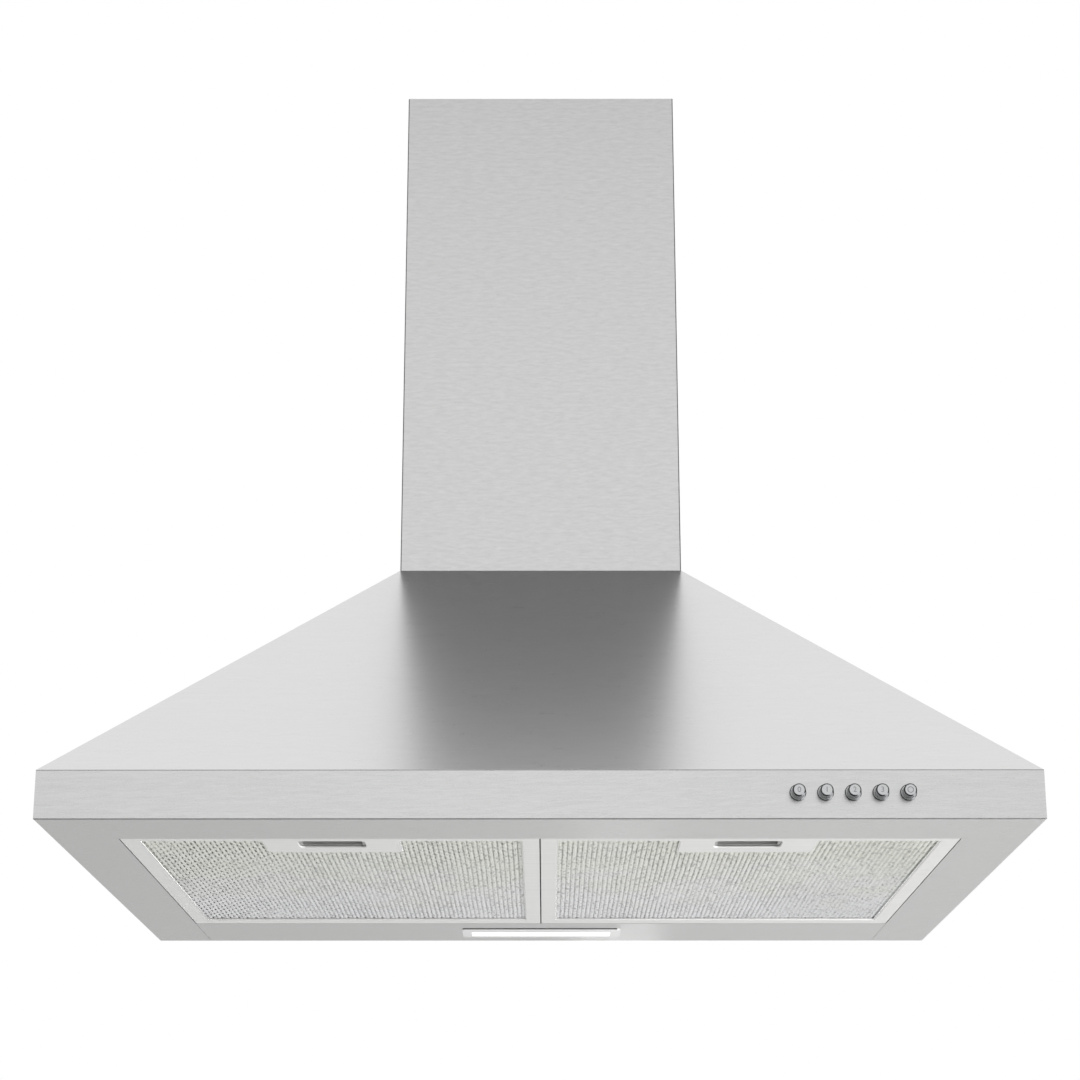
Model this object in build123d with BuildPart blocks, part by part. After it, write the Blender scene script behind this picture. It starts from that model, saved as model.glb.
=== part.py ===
from build123d import *
import math
import os

# Wall-mounted chimney range hood, 600 mm wide, in millimetres.
# +Z is up, the wall is the plane Y = 0 with the room on the -Y side, and +X is to the right as
# seen from the room. The origin lies midway between the two hanging holes, on the wall.

# Canopy: a low lip, then a pyramid that narrows to the chimney's outline
WIDTH = 600.0
DEPTH = 500.0
LIP = 30.0
RISE = 220.0
HANG_HEIGHT = 205.0  # hanging holes above the lower edge
SHEET = 0.8
BEND = 1.0  # outer radius of a folded edge

BOTTOM = -HANG_HEIGHT
LIP_TOP = BOTTOM + LIP
CANOPY_TOP = LIP_TOP + RISE

# Chimney covers
CHIMNEY_WIDTH = 210.0
CHIMNEY_DEPTH = 180.0
CHIMNEY_HEIGHT = 392.0
CHIMNEY_TOP = CANOPY_TOP + CHIMNEY_HEIGHT
CHIMNEY_RETURN = 12.0  # rear flanges turned in along the wall
NEST_GAP = 0.8  # between the two covers
UPPER_START = 22.0  # lower end of the upper cover, above the canopy
VENT_ROWS = 6
VENT_PITCH = 13.0
VENT_LENGTH = 80.0
VENT_HEIGHT = 7.0
VENT_TOP = 50.0  # middle of the rows, below the upper cover's top

# Wall bracket that the upper cover is fixed to
BRACKET_WALL = 1.5
BRACKET_HEIGHT = 40.0
BRACKET_Z = CHIMNEY_TOP - 60.0
BRACKET_EAR_FRONT = -50.0
BRACKET_EAR_Y = -35.0
BRACKET_JOG = -14.0
BRACKET_BACK_X = 88.0
BRACKET_BACK_Y = -0.3
BRACKET_HOLE_SPACING = 120.0

# Underside
FLANGE_FRONT = 62.0
FLANGE_SIDE = 40.5
BAR_DEPTH = 89.0
OPEN_HALF = WIDTH / 2 - FLANGE_SIDE
OPEN_FRONT = -(DEPTH - FLANGE_FRONT)
SEAM = 0.2
HEM_R = SHEET
HEM_FOLD = 8.2
BAR_UPTURN = 14.0

# Holes in the rear panel
HANG_SPACING = 200.0
HANG_HOLE_R = 4.0
FIX_SPACING = 420.0
FIX_HOLE_R = 2.5
FIX_Z = BOTTOM + 60.0

# Deck plate under the chimney
DECK = 1.0
DECK_Z = BOTTOM + 240.0
DECK_LIP = 27.0
DECK_HALF = CHIMNEY_WIDTH / 2 - 1.2
DECK_FRONT = -(CHIMNEY_DEPTH - 1.6)
COVER_SCREW_Y = -60.0
COVER_SCREW_Z = CANOPY_TOP + 9.0

# M4 screws
M4_R = 1.95
M4_HOLE_R = 2.05
M4_HEAD_R = 3.8
M4_HEAD = 2.4

# Blower: double-inlet impeller on an axis along X, in a scroll that opens upwards at the rear
FAN_Y = -121.0
FAN_Z = BOTTOM + 128.0
SCROLL_STEP = 12.0  # growth of the scroll per quarter turn
SCROLL_R = 86.0
CASING_HALF = 57.0
CASING_WALL = 1.5
INLET_R = 59.0
OUTLET_FRONT = 20.0  # outlet's front wall behind the fan's axis
OUTLET_REAR = 116.0
CASING_FLANGE = 13.0
CASING_FLANGE_WALL = 2.0
INLET_LIP = 5.0
LUG_R = 5.0
LUG_LENGTH = 8.0

IMPELLER_R = 75.0
BLADE_INNER_R = 60.0
IMPELLER_HALF = 50.0
BLADES = 40
BLADE = 0.9
RING = 2.5
RING_WIDTH = 6.0
DISC = 3.0
HUB_R = 12.0
HUB_START = -10.0
HUB = 16.0
SHAFT_R = 4.0

# Motor, inside the right half of the impeller
MOTOR_R = 43.0
MOTOR_START = 12.0
MOTOR_END = 52.0
MOTOR_WALL = 1.5
BEARING_R = 11.0
BEARING = 7.0
ROTOR_R = 25.0
ROTOR_X = (22.0, 46.0)
STATOR_SLOTS = 12
STATOR_SLOT_RADIUS = 33.5
STATOR_SLOT_R = 2.2
AIR_GAP = 0.5
SPIDER_X = 60.5
SPIDER = 2.0
FOOT_RADIUS = 67.0
BUSH_R = 6.0
ARMS = 3
ARM_START = 90
ARM_WIDTH = 12.0

# Outlet collar and its two non-return flaps
OUTLET_Y = FAN_Y + (OUTLET_FRONT + OUTLET_REAR) / 2
COLLAR_Y = -82.0
COLLAR_R = 75.0
COLLAR_WALL = 2.0
COLLAR_FOOT = DECK_Z + DECK
COLLAR_BASE = 2.0
COLLAR_BASE_SIZE = (144.0, 102.0)
COLLAR_SCREWS = (133.0, 70.0)
COLLAR_NECK = COLLAR_FOOT + 31.0
COLLAR_TOP = COLLAR_NECK + 46.0
FLAP_Z = COLLAR_NECK + 23.0
FLAP_R = 71.5
FLAP = 1.0
FLAP_PIN_R = 1.5
FLAP_PIN_HALF = COLLAR_R - 0.6  # each end stops in a blind hole in the collar's wall
FLAP_LEDGE = 2.0
FLAP_LEDGE_GAP = 0.3
KNUCKLE_R = 3.0
KNUCKLE_BORE_R = 1.58

# Push buttons in the lip
BUTTON_NAMES = ("button_off", "button_low", "button_medium", "button_high", "button_lamp")
BUTTON_X = 153.0
BUTTON_PITCH = 16.4
BUTTON_Z = BOTTOM + 15.9
BUTTON_R = 3.9
BUTTON_OUT = 10.0
BUTTON_LENGTH = 16.0
BUTTON_STEM_R = 2.5
BUTTON_STEM = 14.0
RING_R = 4.95
RING_PROUD = 2.0
RING_NECK_R = 4.5
RING_NECK = 3.0
RING_BORE_R = 3.96
SWITCH_FRONT = -486.0
SWITCH_REAR = -466.0

# Filters
FILTER_GAP = 0.4
FILTER_T = 9.0
FILTER_Z = BOTTOM + 0.3
FILTER_WALL = 1.0
FILTER_HALF_X = (OPEN_HALF - 2 * FILTER_GAP) / 2
FILTER_MID_X = OPEN_HALF / 2
FILTER_FRONT = OPEN_FRONT + FILTER_GAP
FILTER_REAR = -BAR_DEPTH - FILTER_GAP
STRIP_SIDE = 11.3
STRIP_FRONT = 10.1
STRIP_REAR = 14.6
PAD_WIDTH = 86.5
PAD_REAR = -388.0
SLOT_WIDTH = 41.5
SLOT_FRONT = -427.7
SLOT_REAR = -406.0
SLOT_CORNER = 3.5
SLOT_CHAMFER = 0.5
LATCH_HALF = 30.0
LATCH_FRONT = -432.5
LATCH_REAR = -402.5
MESH_COLUMNS = 10
MESH_ROWS = 14
MESH_BAR = 1.6
RETURN = 0.5  # height of the turned-in edge round the mesh window and round the pad
RETURN_WALL = 0.8
ROLL = 1.4  # outer radius of a turned-in edge
TAB_WIDTH = 30.0

# Lamp in the rear bar
LAMP_Y = -44.5  # middle of the bezel
BEZEL_SIZE = (121.0, 39.0)
BEZEL_PROUD = 1.0
LENS_SIZE = (106.0, 19.2)
LENS_Y = -41.5
LAMP_NECK = (113.0, 25.0)
LAMP_WALL = 2.0
LAMP_NECK_HEIGHT = 6.0
LAMP_SEAT = (LAMP_NECK[0] - 2 * LAMP_WALL, LAMP_NECK[1] - 2 * LAMP_WALL)
LENS_BACK = 1.5
LENS_SUNK = 0.2
LAMP_TOP = BOTTOM + 18.0
LEDS = 12

# Control box, on the rear panel to the right of the blower
BOX_X = (150.0, 240.0)
BOX_Y = (-50.0, -SHEET)
BOX_Z = (BOTTOM + 35.0, BOTTOM + 75.0)
BOX_WALL = 1.0
GLAND_X = 86.0
GLAND_Y = -130.0
GLAND_BORE_R = 4.0
GLAND_NECK_R = 8.0
LEAD_R = 3.0

os.makedirs("parts", exist_ok=True)


def block(x, y, z, mode=Mode.ADD):
    """A block between its lower and upper bound along each axis."""
    with Locations(((x[0] + x[1]) / 2, (y[0] + y[1]) / 2, (z[0] + z[1]) / 2)):
        Box(x[1] - x[0], y[1] - y[0], z[1] - z[0], mode=mode)


def fan_plane(x):
    """A plane square to the fan's axis: its own x runs towards the wall and its own y up."""
    return Plane(origin=(x, FAN_Y, FAN_Z), x_dir=(0, 1, 0), z_dir=(1, 0, 0))


def disc(plane, radius, length, mode=Mode.ADD):
    """A round bar that starts on a plane."""
    with BuildSketch(plane) as section:
        Circle(radius)
    extrude(section.sketch, amount=length, mode=mode)


def folded(points, thickness, radius):
    """The section of a folded sheet: its outer line through the points, with its metal to the left."""
    with BuildSketch() as section:
        with BuildLine():
            FilletPolyline(*points, radius=radius)
            offset(amount=thickness, side=Side.LEFT)
        make_face()
    return section.sketch


def finish(builder, name):
    """Names a finished piece and writes its file."""
    builder.part.label = name
    export_step(builder.part, "parts/" + name + ".step")


# ---------------------------------------------------------------- canopy


def flank(reach, run, inset, extra):
    """One flank of the canopy seen square on: lower edge, top of the lip and top of the slope.

    reach is the lip's distance from the middle, and run is how far the slope leans in over the rise.
    inset moves the flank inwards by a sheet's thickness, and extra lengthens it past the top.
    """
    slant = math.hypot(run, RISE)
    return [
        (reach - inset, BOTTOM + inset),
        (reach - inset, LIP_TOP - inset * (slant - RISE) / run),
        (reach - run - inset * slant / RISE - extra * run / RISE, CANOPY_TOP + extra),
    ]


def canopy_form(inset, extra, bend_radius):
    """The canopy as a solid block: its side view carried across the width, cut to its front view."""
    low, bend, top = flank(DEPTH, DEPTH - CHIMNEY_DEPTH, inset, extra)
    side_points = [(-reach, height) for reach, height in (low, bend, top)]
    side_points += [(extra, top[1]), (extra, low[1])]
    right = flank(WIDTH / 2, (WIDTH - CHIMNEY_WIDTH) / 2, inset, extra)
    left = [(-x, z) for x, z in reversed(right)]
    with BuildPart() as form:
        with BuildSketch(Plane.YZ.offset(-WIDTH / 2)) as side_view:
            with BuildLine():
                Polyline(*side_points, close=True)
            make_face()
            if bend_radius:
                fillet(side_view.vertices().sort_by(Axis.X)[:2], radius=bend_radius)
        extrude(amount=WIDTH)
        with BuildSketch(Plane.XZ.offset(-extra)) as front_view:
            with BuildLine():
                Polyline(*right, *left, close=True)
            make_face()
            if bend_radius:
                across = front_view.vertices().sort_by(Axis.X)
                fillet(across[:2] + across[-2:], radius=bend_radius)
        extrude(amount=DEPTH + extra, mode=Mode.INTERSECT)
    return form.part


canopy_outside = canopy_form(0, 0, BEND)
canopy_inside = canopy_form(SHEET, 10.0, 0)

with BuildPart() as canopy_shell:
    add(canopy_outside)
    add(canopy_inside, mode=Mode.SUBTRACT)
    block((-OPEN_HALF, OPEN_HALF), (OPEN_FRONT, 0), (BOTTOM - 1, BOTTOM + 2 * SHEET), Mode.SUBTRACT)
    with BuildSketch(Plane.XZ.offset(DEPTH + 1)):
        with Locations((BUTTON_X + 2 * BUTTON_PITCH, BUTTON_Z)):
            with GridLocations(BUTTON_PITCH, 0, len(BUTTON_NAMES), 1):
                Circle(RING_NECK_R + 0.05)
    extrude(amount=-2 - SHEET, mode=Mode.SUBTRACT)
    split(bisect_by=Plane.XZ.offset(SHEET), keep=Keep.TOP)
finish(canopy_shell, "canopy_shell")

with BuildPart() as rear_panel:
    with BuildSketch(Plane.XZ):
        with BuildLine():
            Polyline(
                (-WIDTH / 2, BOTTOM + BEND),
                (WIDTH / 2, BOTTOM + BEND),
                (WIDTH / 2, LIP_TOP),
                (CHIMNEY_WIDTH / 2, CANOPY_TOP),
                (-CHIMNEY_WIDTH / 2, CANOPY_TOP),
                (-WIDTH / 2, LIP_TOP),
                close=True,
            )
        make_face()
        with GridLocations(HANG_SPACING, 0, 2, 1):
            Circle(HANG_HOLE_R, mode=Mode.SUBTRACT)
        with Locations((0, FIX_Z)):
            with GridLocations(FIX_SPACING, 0, 2, 1):
                Circle(FIX_HOLE_R, mode=Mode.SUBTRACT)
    extrude(amount=SHEET)
finish(rear_panel, "rear_panel")

# The rear bar has a closed hem along its front edge, whose round nose carries the filters' tabs
BAR_HALF = OPEN_HALF - SEAM
HEM_Y = -BAR_DEPTH + HEM_R
with BuildPart() as rear_bar:
    block((-BAR_HALF, BAR_HALF), (HEM_Y, -SHEET), (BOTTOM, BOTTOM + SHEET))
    block((-BAR_HALF, BAR_HALF), (HEM_Y, HEM_Y + HEM_FOLD), (BOTTOM + SHEET, BOTTOM + 2 * SHEET))
    with BuildSketch(Plane.YZ.offset(-BAR_HALF)):
        with Locations((HEM_Y, BOTTOM + SHEET)):
            Circle(HEM_R)
    extrude(amount=2 * BAR_HALF)
    block((-BAR_HALF, BAR_HALF), (-2 * SHEET, -SHEET), (BOTTOM, BOTTOM + BAR_UPTURN))
    with BuildSketch(Plane.XY.offset(BOTTOM)):
        with Locations((0, LENS_Y)):
            RectangleRounded(*LAMP_NECK, 2)
    extrude(amount=SHEET, mode=Mode.SUBTRACT)
finish(rear_bar, "rear_bar")

# The deck closes the canopy's top, and its turned-up edge stands inside the lower cover
with BuildPart() as deck_plate:
    block((-DECK_HALF, DECK_HALF), (DECK_FRONT, -SHEET), (DECK_Z, DECK_Z + DECK_LIP))
    block(
        (-DECK_HALF + DECK, DECK_HALF - DECK),
        (DECK_FRONT + DECK, 0),
        (DECK_Z + DECK, DECK_Z + DECK_LIP),
        Mode.SUBTRACT,
    )
    block(
        (-CASING_HALF, CASING_HALF),
        (FAN_Y + OUTLET_FRONT, FAN_Y + OUTLET_REAR),
        (DECK_Z, DECK_Z + DECK),
        Mode.SUBTRACT,
    )
    with BuildSketch(Plane.XY.offset(DECK_Z)):
        with Locations((GLAND_X, GLAND_Y)):
            Circle(GLAND_NECK_R)
        with Locations((0, OUTLET_Y)):
            with GridLocations(*COLLAR_SCREWS, 2, 2):
                Circle(M4_HOLE_R)
    extrude(amount=DECK, mode=Mode.SUBTRACT)
    with BuildSketch(Plane.YZ.offset(-DECK_HALF)):
        with Locations((COVER_SCREW_Y, COVER_SCREW_Z)):
            Circle(M4_HOLE_R)
    extrude(amount=2 * DECK_HALF, mode=Mode.SUBTRACT)
finish(deck_plate, "deck_plate")

# ---------------------------------------------------------------- chimney covers


def cover_section(half, front, rear, back):
    """A cover's section: front and two sides, with rear flanges turned in, open at the back."""
    outline = [
        (-half + back, rear),
        (-half, rear),
        (-half, front),
        (half, front),
        (half, rear),
        (half - back, rear),
    ]
    return folded(outline, SHEET, BEND)


LOWER_HALF = CHIMNEY_WIDTH / 2
UPPER_HALF = LOWER_HALF - SHEET - NEST_GAP
UPPER_FRONT = -CHIMNEY_DEPTH + SHEET + NEST_GAP
UPPER_REAR = -SHEET - NEST_GAP / 2
UPPER_TOP = CHIMNEY_TOP - 1.0
lower_section = cover_section(LOWER_HALF, -CHIMNEY_DEPTH, 0, CHIMNEY_RETURN)
upper_section = cover_section(UPPER_HALF, UPPER_FRONT, UPPER_REAR, CHIMNEY_RETURN)

with BuildPart() as lower_chimney:
    with BuildSketch(Plane.XY.offset(CANOPY_TOP)):
        add(lower_section)
    extrude(amount=CHIMNEY_HEIGHT)
    with BuildSketch(Plane.YZ.offset(-LOWER_HALF)):
        with Locations((COVER_SCREW_Y, COVER_SCREW_Z)):
            Circle(M4_R)
    extrude(amount=2 * LOWER_HALF, mode=Mode.SUBTRACT)
finish(lower_chimney, "lower_chimney")

with BuildPart() as upper_chimney:
    with BuildSketch(Plane.XY.offset(CANOPY_TOP + UPPER_START)):
        add(upper_section)
    extrude(amount=UPPER_TOP - CANOPY_TOP - UPPER_START)
    with BuildSketch(Plane.YZ.offset(-UPPER_HALF)):
        with Locations((-CHIMNEY_DEPTH / 2, UPPER_TOP - VENT_TOP)):
            with GridLocations(0, VENT_PITCH, 1, VENT_ROWS):
                SlotOverall(VENT_LENGTH, VENT_HEIGHT)
        with Locations((BRACKET_EAR_Y, BRACKET_Z + BRACKET_HEIGHT / 2)):
            Circle(M4_HOLE_R)
    extrude(amount=2 * UPPER_HALF, mode=Mode.SUBTRACT)
finish(upper_chimney, "upper_chimney")

# The wall bracket's ears lie against the upper cover's sides, and its back against the wall
EAR_X = UPPER_HALF - SHEET
bracket_section = folded(
    [
        (EAR_X, BRACKET_EAR_FRONT),
        (EAR_X, BRACKET_JOG),
        (BRACKET_BACK_X, BRACKET_JOG),
        (BRACKET_BACK_X, BRACKET_BACK_Y),
        (-BRACKET_BACK_X, BRACKET_BACK_Y),
        (-BRACKET_BACK_X, BRACKET_JOG),
        (-EAR_X, BRACKET_JOG),
        (-EAR_X, BRACKET_EAR_FRONT),
    ],
    BRACKET_WALL,
    2.0,
)
with BuildPart() as wall_bracket:
    with BuildSketch(Plane.XY.offset(BRACKET_Z)):
        add(bracket_section)
    extrude(amount=BRACKET_HEIGHT)
    with BuildSketch(Plane.XZ):
        with Locations((0, BRACKET_Z + BRACKET_HEIGHT / 2)):
            with GridLocations(BRACKET_HOLE_SPACING, 0, 2, 1):
                Circle(FIX_HOLE_R)
    extrude(amount=5.0, mode=Mode.SUBTRACT)
    with BuildSketch(Plane.YZ.offset(-UPPER_HALF)):
        with Locations((BRACKET_EAR_Y, BRACKET_Z + BRACKET_HEIGHT / 2)):
            Circle(M4_R)
    extrude(amount=2 * UPPER_HALF, mode=Mode.SUBTRACT)
finish(wall_bracket, "wall_bracket")

# ---------------------------------------------------------------- blower


def scroll_face(wall, top):
    """The scroll's outline: three quarter arcs whose radius grows by a step each, then the outlet."""
    shift = SCROLL_STEP / 2
    first = (-shift, -shift, SCROLL_R)
    second = (shift, -shift, SCROLL_R + SCROLL_STEP)
    third = (shift, shift, SCROLL_R + 2 * SCROLL_STEP)
    with BuildSketch() as face:
        with BuildLine():
            CenterArc(first[:2], first[2], 90, 90)
            CenterArc(second[:2], second[2], 180, 90)
            CenterArc(third[:2], third[2], 270, 90)
            Polyline(
                (third[0] + third[2], third[1]),
                (OUTLET_REAR, top),
                (OUTLET_FRONT, top),
                (OUTLET_FRONT, first[1] + first[2]),
                (first[0], first[1] + first[2]),
            )
        make_face()
        if wall:
            offset(amount=wall)
    return face.sketch


SCROLL_TOP = DECK_Z - FAN_Z
scroll_inside = scroll_face(0, SCROLL_TOP + 20.0)
scroll_outside = scroll_face(CASING_WALL, SCROLL_TOP + 10.0)

# Lugs that join the two casing halves: angle about the fan's axis, and distance from it
LUGS = ((135, 91.1), (225, 103.1), (315, 115.2))
LUG_PLACES = [
    (radius * math.cos(math.radians(angle)), radius * math.sin(math.radians(angle))) for angle, radius in LUGS
]


def casing_half(side):
    """One half of the blower casing, from the middle of the fan out to its inlet, on side +1 or -1."""
    plate = CASING_HALF * side
    with BuildPart() as half:
        with BuildSketch(fan_plane(0)):
            add(scroll_outside)
        extrude(amount=(CASING_HALF + CASING_WALL) * side)
        with BuildSketch(fan_plane(0)):
            with Locations(*LUG_PLACES):
                Circle(LUG_R)
        extrude(amount=LUG_LENGTH * side)
        block(
            sorted((plate, plate + (CASING_WALL + CASING_FLANGE) * side)),
            (FAN_Y + OUTLET_FRONT - 4.0, FAN_Y + OUTLET_REAR - 6.0),
            (DECK_Z - CASING_FLANGE_WALL, DECK_Z),
        )
        with BuildSketch(fan_plane(0)):
            add(scroll_inside)
        extrude(amount=(CASING_HALF - INLET_LIP) * side, mode=Mode.SUBTRACT)
        with BuildSketch(fan_plane(0)):
            add(scroll_inside)
            Circle(INLET_R + CASING_WALL, mode=Mode.SUBTRACT)
        extrude(amount=plate, mode=Mode.SUBTRACT)
        disc(fan_plane(0), INLET_R, (CASING_HALF + CASING_WALL) * side, Mode.SUBTRACT)
        with BuildSketch(fan_plane(0)):
            with Locations(*LUG_PLACES):
                Circle(M4_HOLE_R)
        extrude(amount=LUG_LENGTH * side, mode=Mode.SUBTRACT)
        if side > 0:
            with BuildSketch(fan_plane(plate)):
                with PolarLocations(FOOT_RADIUS, ARMS, start_angle=ARM_START):
                    Circle(M4_R)
            extrude(amount=CASING_WALL, mode=Mode.SUBTRACT)
        with BuildSketch(Plane.XY.offset(DECK_Z)):
            with Locations((0, OUTLET_Y)):
                with GridLocations(*COLLAR_SCREWS, 2, 2):
                    Circle(M4_R)
        extrude(amount=-CASING_FLANGE_WALL, mode=Mode.SUBTRACT)
        split(bisect_by=Plane.XY.offset(DECK_Z), keep=Keep.BOTTOM)
    return half


casing_left = casing_half(-1)
finish(casing_left, "casing_left")
casing_right = casing_half(1)
finish(casing_right, "casing_right")

# Forward-curved blades, each a thin arc between the two end rings and the middle disc
BLADE_SWEEP = 14.0
with BuildSketch() as blade:
    with BuildLine():
        tip = (
            (IMPELLER_R - BLADE) * math.cos(math.radians(BLADE_SWEEP)),
            (IMPELLER_R - BLADE) * math.sin(math.radians(BLADE_SWEEP)),
        )
        TangentArc((BLADE_INNER_R, 0), tip, tangent=(1, 0))
    trace(line_width=BLADE)

with BuildPart() as impeller:
    with BuildSketch(fan_plane(-IMPELLER_HALF)):
        with PolarLocations(0, BLADES):
            add(blade.sketch)
    extrude(amount=2 * IMPELLER_HALF)
    disc(fan_plane(-DISC / 2), IMPELLER_R, DISC)
    disc(fan_plane(HUB_START), HUB_R, HUB)
    for start in (-IMPELLER_HALF, IMPELLER_HALF - RING):
        with BuildSketch(fan_plane(start)):
            Circle(IMPELLER_R)
            Circle(IMPELLER_R - RING_WIDTH, mode=Mode.SUBTRACT)
        extrude(amount=RING)
    disc(fan_plane(HUB_START), SHAFT_R, HUB, Mode.SUBTRACT)
finish(impeller, "impeller")

NUT = 6.0
NUT_HALF_FLATS = 6.5
SHAFT_START = HUB_START - NUT - 2.0
SHAFT_END = SPIDER_X - 1.0
with BuildPart() as hub_nut:
    with BuildSketch(fan_plane(HUB_START - NUT)):
        RegularPolygon(NUT_HALF_FLATS, 6, major_radius=False)
        Circle(SHAFT_R, mode=Mode.SUBTRACT)
    extrude(amount=NUT)
finish(hub_nut, "hub_nut")

with BuildPart() as motor_shaft:
    disc(fan_plane(SHAFT_START), SHAFT_R, SHAFT_END - SHAFT_START)
    chamfer(motor_shaft.edges().filter_by(GeomType.CIRCLE), length=0.5)
finish(motor_shaft, "motor_shaft")

with BuildPart() as motor_rotor:
    disc(fan_plane(ROTOR_X[0]), ROTOR_R, ROTOR_X[1] - ROTOR_X[0])
    disc(fan_plane(ROTOR_X[0]), SHAFT_R, ROTOR_X[1] - ROTOR_X[0], Mode.SUBTRACT)
finish(motor_rotor, "motor_rotor")

with BuildPart() as motor_stator:
    with BuildSketch(fan_plane(ROTOR_X[0])):
        Circle(MOTOR_R - MOTOR_WALL)
        Circle(ROTOR_R + AIR_GAP, mode=Mode.SUBTRACT)
        with PolarLocations(STATOR_SLOT_RADIUS, STATOR_SLOTS):
            Circle(STATOR_SLOT_R, mode=Mode.SUBTRACT)
    extrude(amount=ROTOR_X[1] - ROTOR_X[0])
finish(motor_stator, "motor_stator")

with BuildPart() as motor_housing:
    disc(fan_plane(MOTOR_START), MOTOR_R, MOTOR_END - MOTOR_START)
    disc(fan_plane(MOTOR_START + MOTOR_WALL), MOTOR_R - MOTOR_WALL, MOTOR_END, Mode.SUBTRACT)
    disc(fan_plane(MOTOR_START + MOTOR_WALL), BEARING_R + MOTOR_WALL, BEARING - 2)
    disc(fan_plane(MOTOR_START + MOTOR_WALL), BEARING_R, BEARING, Mode.SUBTRACT)
    disc(fan_plane(MOTOR_START), SHAFT_R + 2, MOTOR_WALL, Mode.SUBTRACT)
    fillet(motor_housing.faces().sort_by(Axis.X)[0].edges().sort_by(SortBy.LENGTH)[-1], radius=1.2)
finish(motor_housing, "motor_housing")

with BuildPart() as motor_end_cap:
    disc(fan_plane(MOTOR_END), MOTOR_R, 2.0)
    disc(fan_plane(MOTOR_END), 2 * BEARING_R, SPIDER_X - MOTOR_END)
    disc(fan_plane(MOTOR_END), BEARING_R, SPIDER_X - MOTOR_END - 1, Mode.SUBTRACT)
    disc(fan_plane(MOTOR_END), SHAFT_R + 0.5, SPIDER_X - MOTOR_END, Mode.SUBTRACT)
finish(motor_end_cap, "motor_end_cap")

BEARINGS = {"bearing_front": MOTOR_START + MOTOR_WALL, "bearing_rear": SPIDER_X - 1 - BEARING}
for bearing_name, start in BEARINGS.items():
    with BuildPart() as bearing:
        with BuildSketch(fan_plane(start)):
            Circle(BEARING_R)
            Circle(SHAFT_R + 0.03, mode=Mode.SUBTRACT)
        extrude(amount=BEARING)
    finish(bearing, bearing_name)

# Three arms carry the motor, each with a rubber bush in its foot
with BuildPart() as motor_bracket:
    with BuildSketch(fan_plane(SPIDER_X)):
        Circle(2 * BEARING_R + 4)
        with PolarLocations(FOOT_RADIUS / 2, ARMS, start_angle=ARM_START):
            Rectangle(FOOT_RADIUS, ARM_WIDTH)
        with PolarLocations(FOOT_RADIUS, ARMS, start_angle=ARM_START):
            Circle(BUSH_R + 4)
        with PolarLocations(FOOT_RADIUS, ARMS, start_angle=ARM_START):
            Circle(BUSH_R, mode=Mode.SUBTRACT)
    extrude(amount=SPIDER)
finish(motor_bracket, "motor_bracket")

BUSH_START = CASING_HALF + CASING_WALL
BUSH = 6.0
with BuildPart() as motor_bushes:
    with BuildSketch(fan_plane(BUSH_START)):
        with PolarLocations(FOOT_RADIUS, ARMS, start_angle=ARM_START):
            Circle(BUSH_R)
            Circle(M4_HOLE_R, mode=Mode.SUBTRACT)
    extrude(amount=BUSH)
finish(motor_bushes, "motor_bushes")

# ---------------------------------------------------------------- outlet collar and flaps

OUTLET_SIZE = (2 * CASING_HALF, OUTLET_REAR - OUTLET_FRONT)


def collar_form(wall):
    """The duct from the blower's square outlet to the round collar, wall thicker than its bore."""
    with BuildPart() as form:
        with BuildSketch(Plane.XY.offset(COLLAR_FOOT)):
            with Locations((0, OUTLET_Y)):
                Rectangle(OUTLET_SIZE[0] + 2 * wall, OUTLET_SIZE[1] + 2 * wall)
        with BuildSketch(Plane.XY.offset(COLLAR_NECK)):
            with Locations((0, COLLAR_Y)):
                Circle(COLLAR_R - COLLAR_WALL + wall)
        loft()
        with BuildSketch(Plane.XY.offset(COLLAR_NECK)):
            with Locations((0, COLLAR_Y)):
                Circle(COLLAR_R - COLLAR_WALL + wall)
        extrude(amount=COLLAR_TOP - COLLAR_NECK)
    return form.part


collar_outside = collar_form(COLLAR_WALL)
collar_bore = collar_form(0)
with BuildPart() as outlet_collar:
    add(collar_outside)
    with BuildSketch(Plane.XY.offset(COLLAR_FOOT)):
        with Locations((0, OUTLET_Y)):
            RectangleRounded(*COLLAR_BASE_SIZE, 4)
    extrude(amount=COLLAR_BASE)
    add(collar_bore, mode=Mode.SUBTRACT)
    with BuildSketch(Plane.XY.offset(FLAP_Z - FLAP / 2 - FLAP_LEDGE_GAP)):
        with Locations((0, COLLAR_Y)):
            Circle(COLLAR_R - COLLAR_WALL / 2)
            Circle(FLAP_R - FLAP_LEDGE, mode=Mode.SUBTRACT)
    extrude(amount=-FLAP_LEDGE)
    with BuildSketch(Plane.YZ.offset(-FLAP_PIN_HALF)):
        with Locations((COLLAR_Y, FLAP_Z)):
            Circle(FLAP_PIN_R)
    extrude(amount=2 * FLAP_PIN_HALF, mode=Mode.SUBTRACT)
    with BuildSketch(Plane.XY.offset(COLLAR_FOOT)):
        with Locations((0, OUTLET_Y)):
            with GridLocations(*COLLAR_SCREWS, 2, 2):
                Circle(M4_HOLE_R)
    extrude(amount=COLLAR_BASE, mode=Mode.SUBTRACT)
finish(outlet_collar, "outlet_collar")

with BuildPart() as flap_pin:
    with BuildSketch(Plane.YZ.offset(-FLAP_PIN_HALF)):
        with Locations((COLLAR_Y, FLAP_Z)):
            Circle(FLAP_PIN_R)
    extrude(amount=2 * FLAP_PIN_HALF)
finish(flap_pin, "flap_pin")

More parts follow.
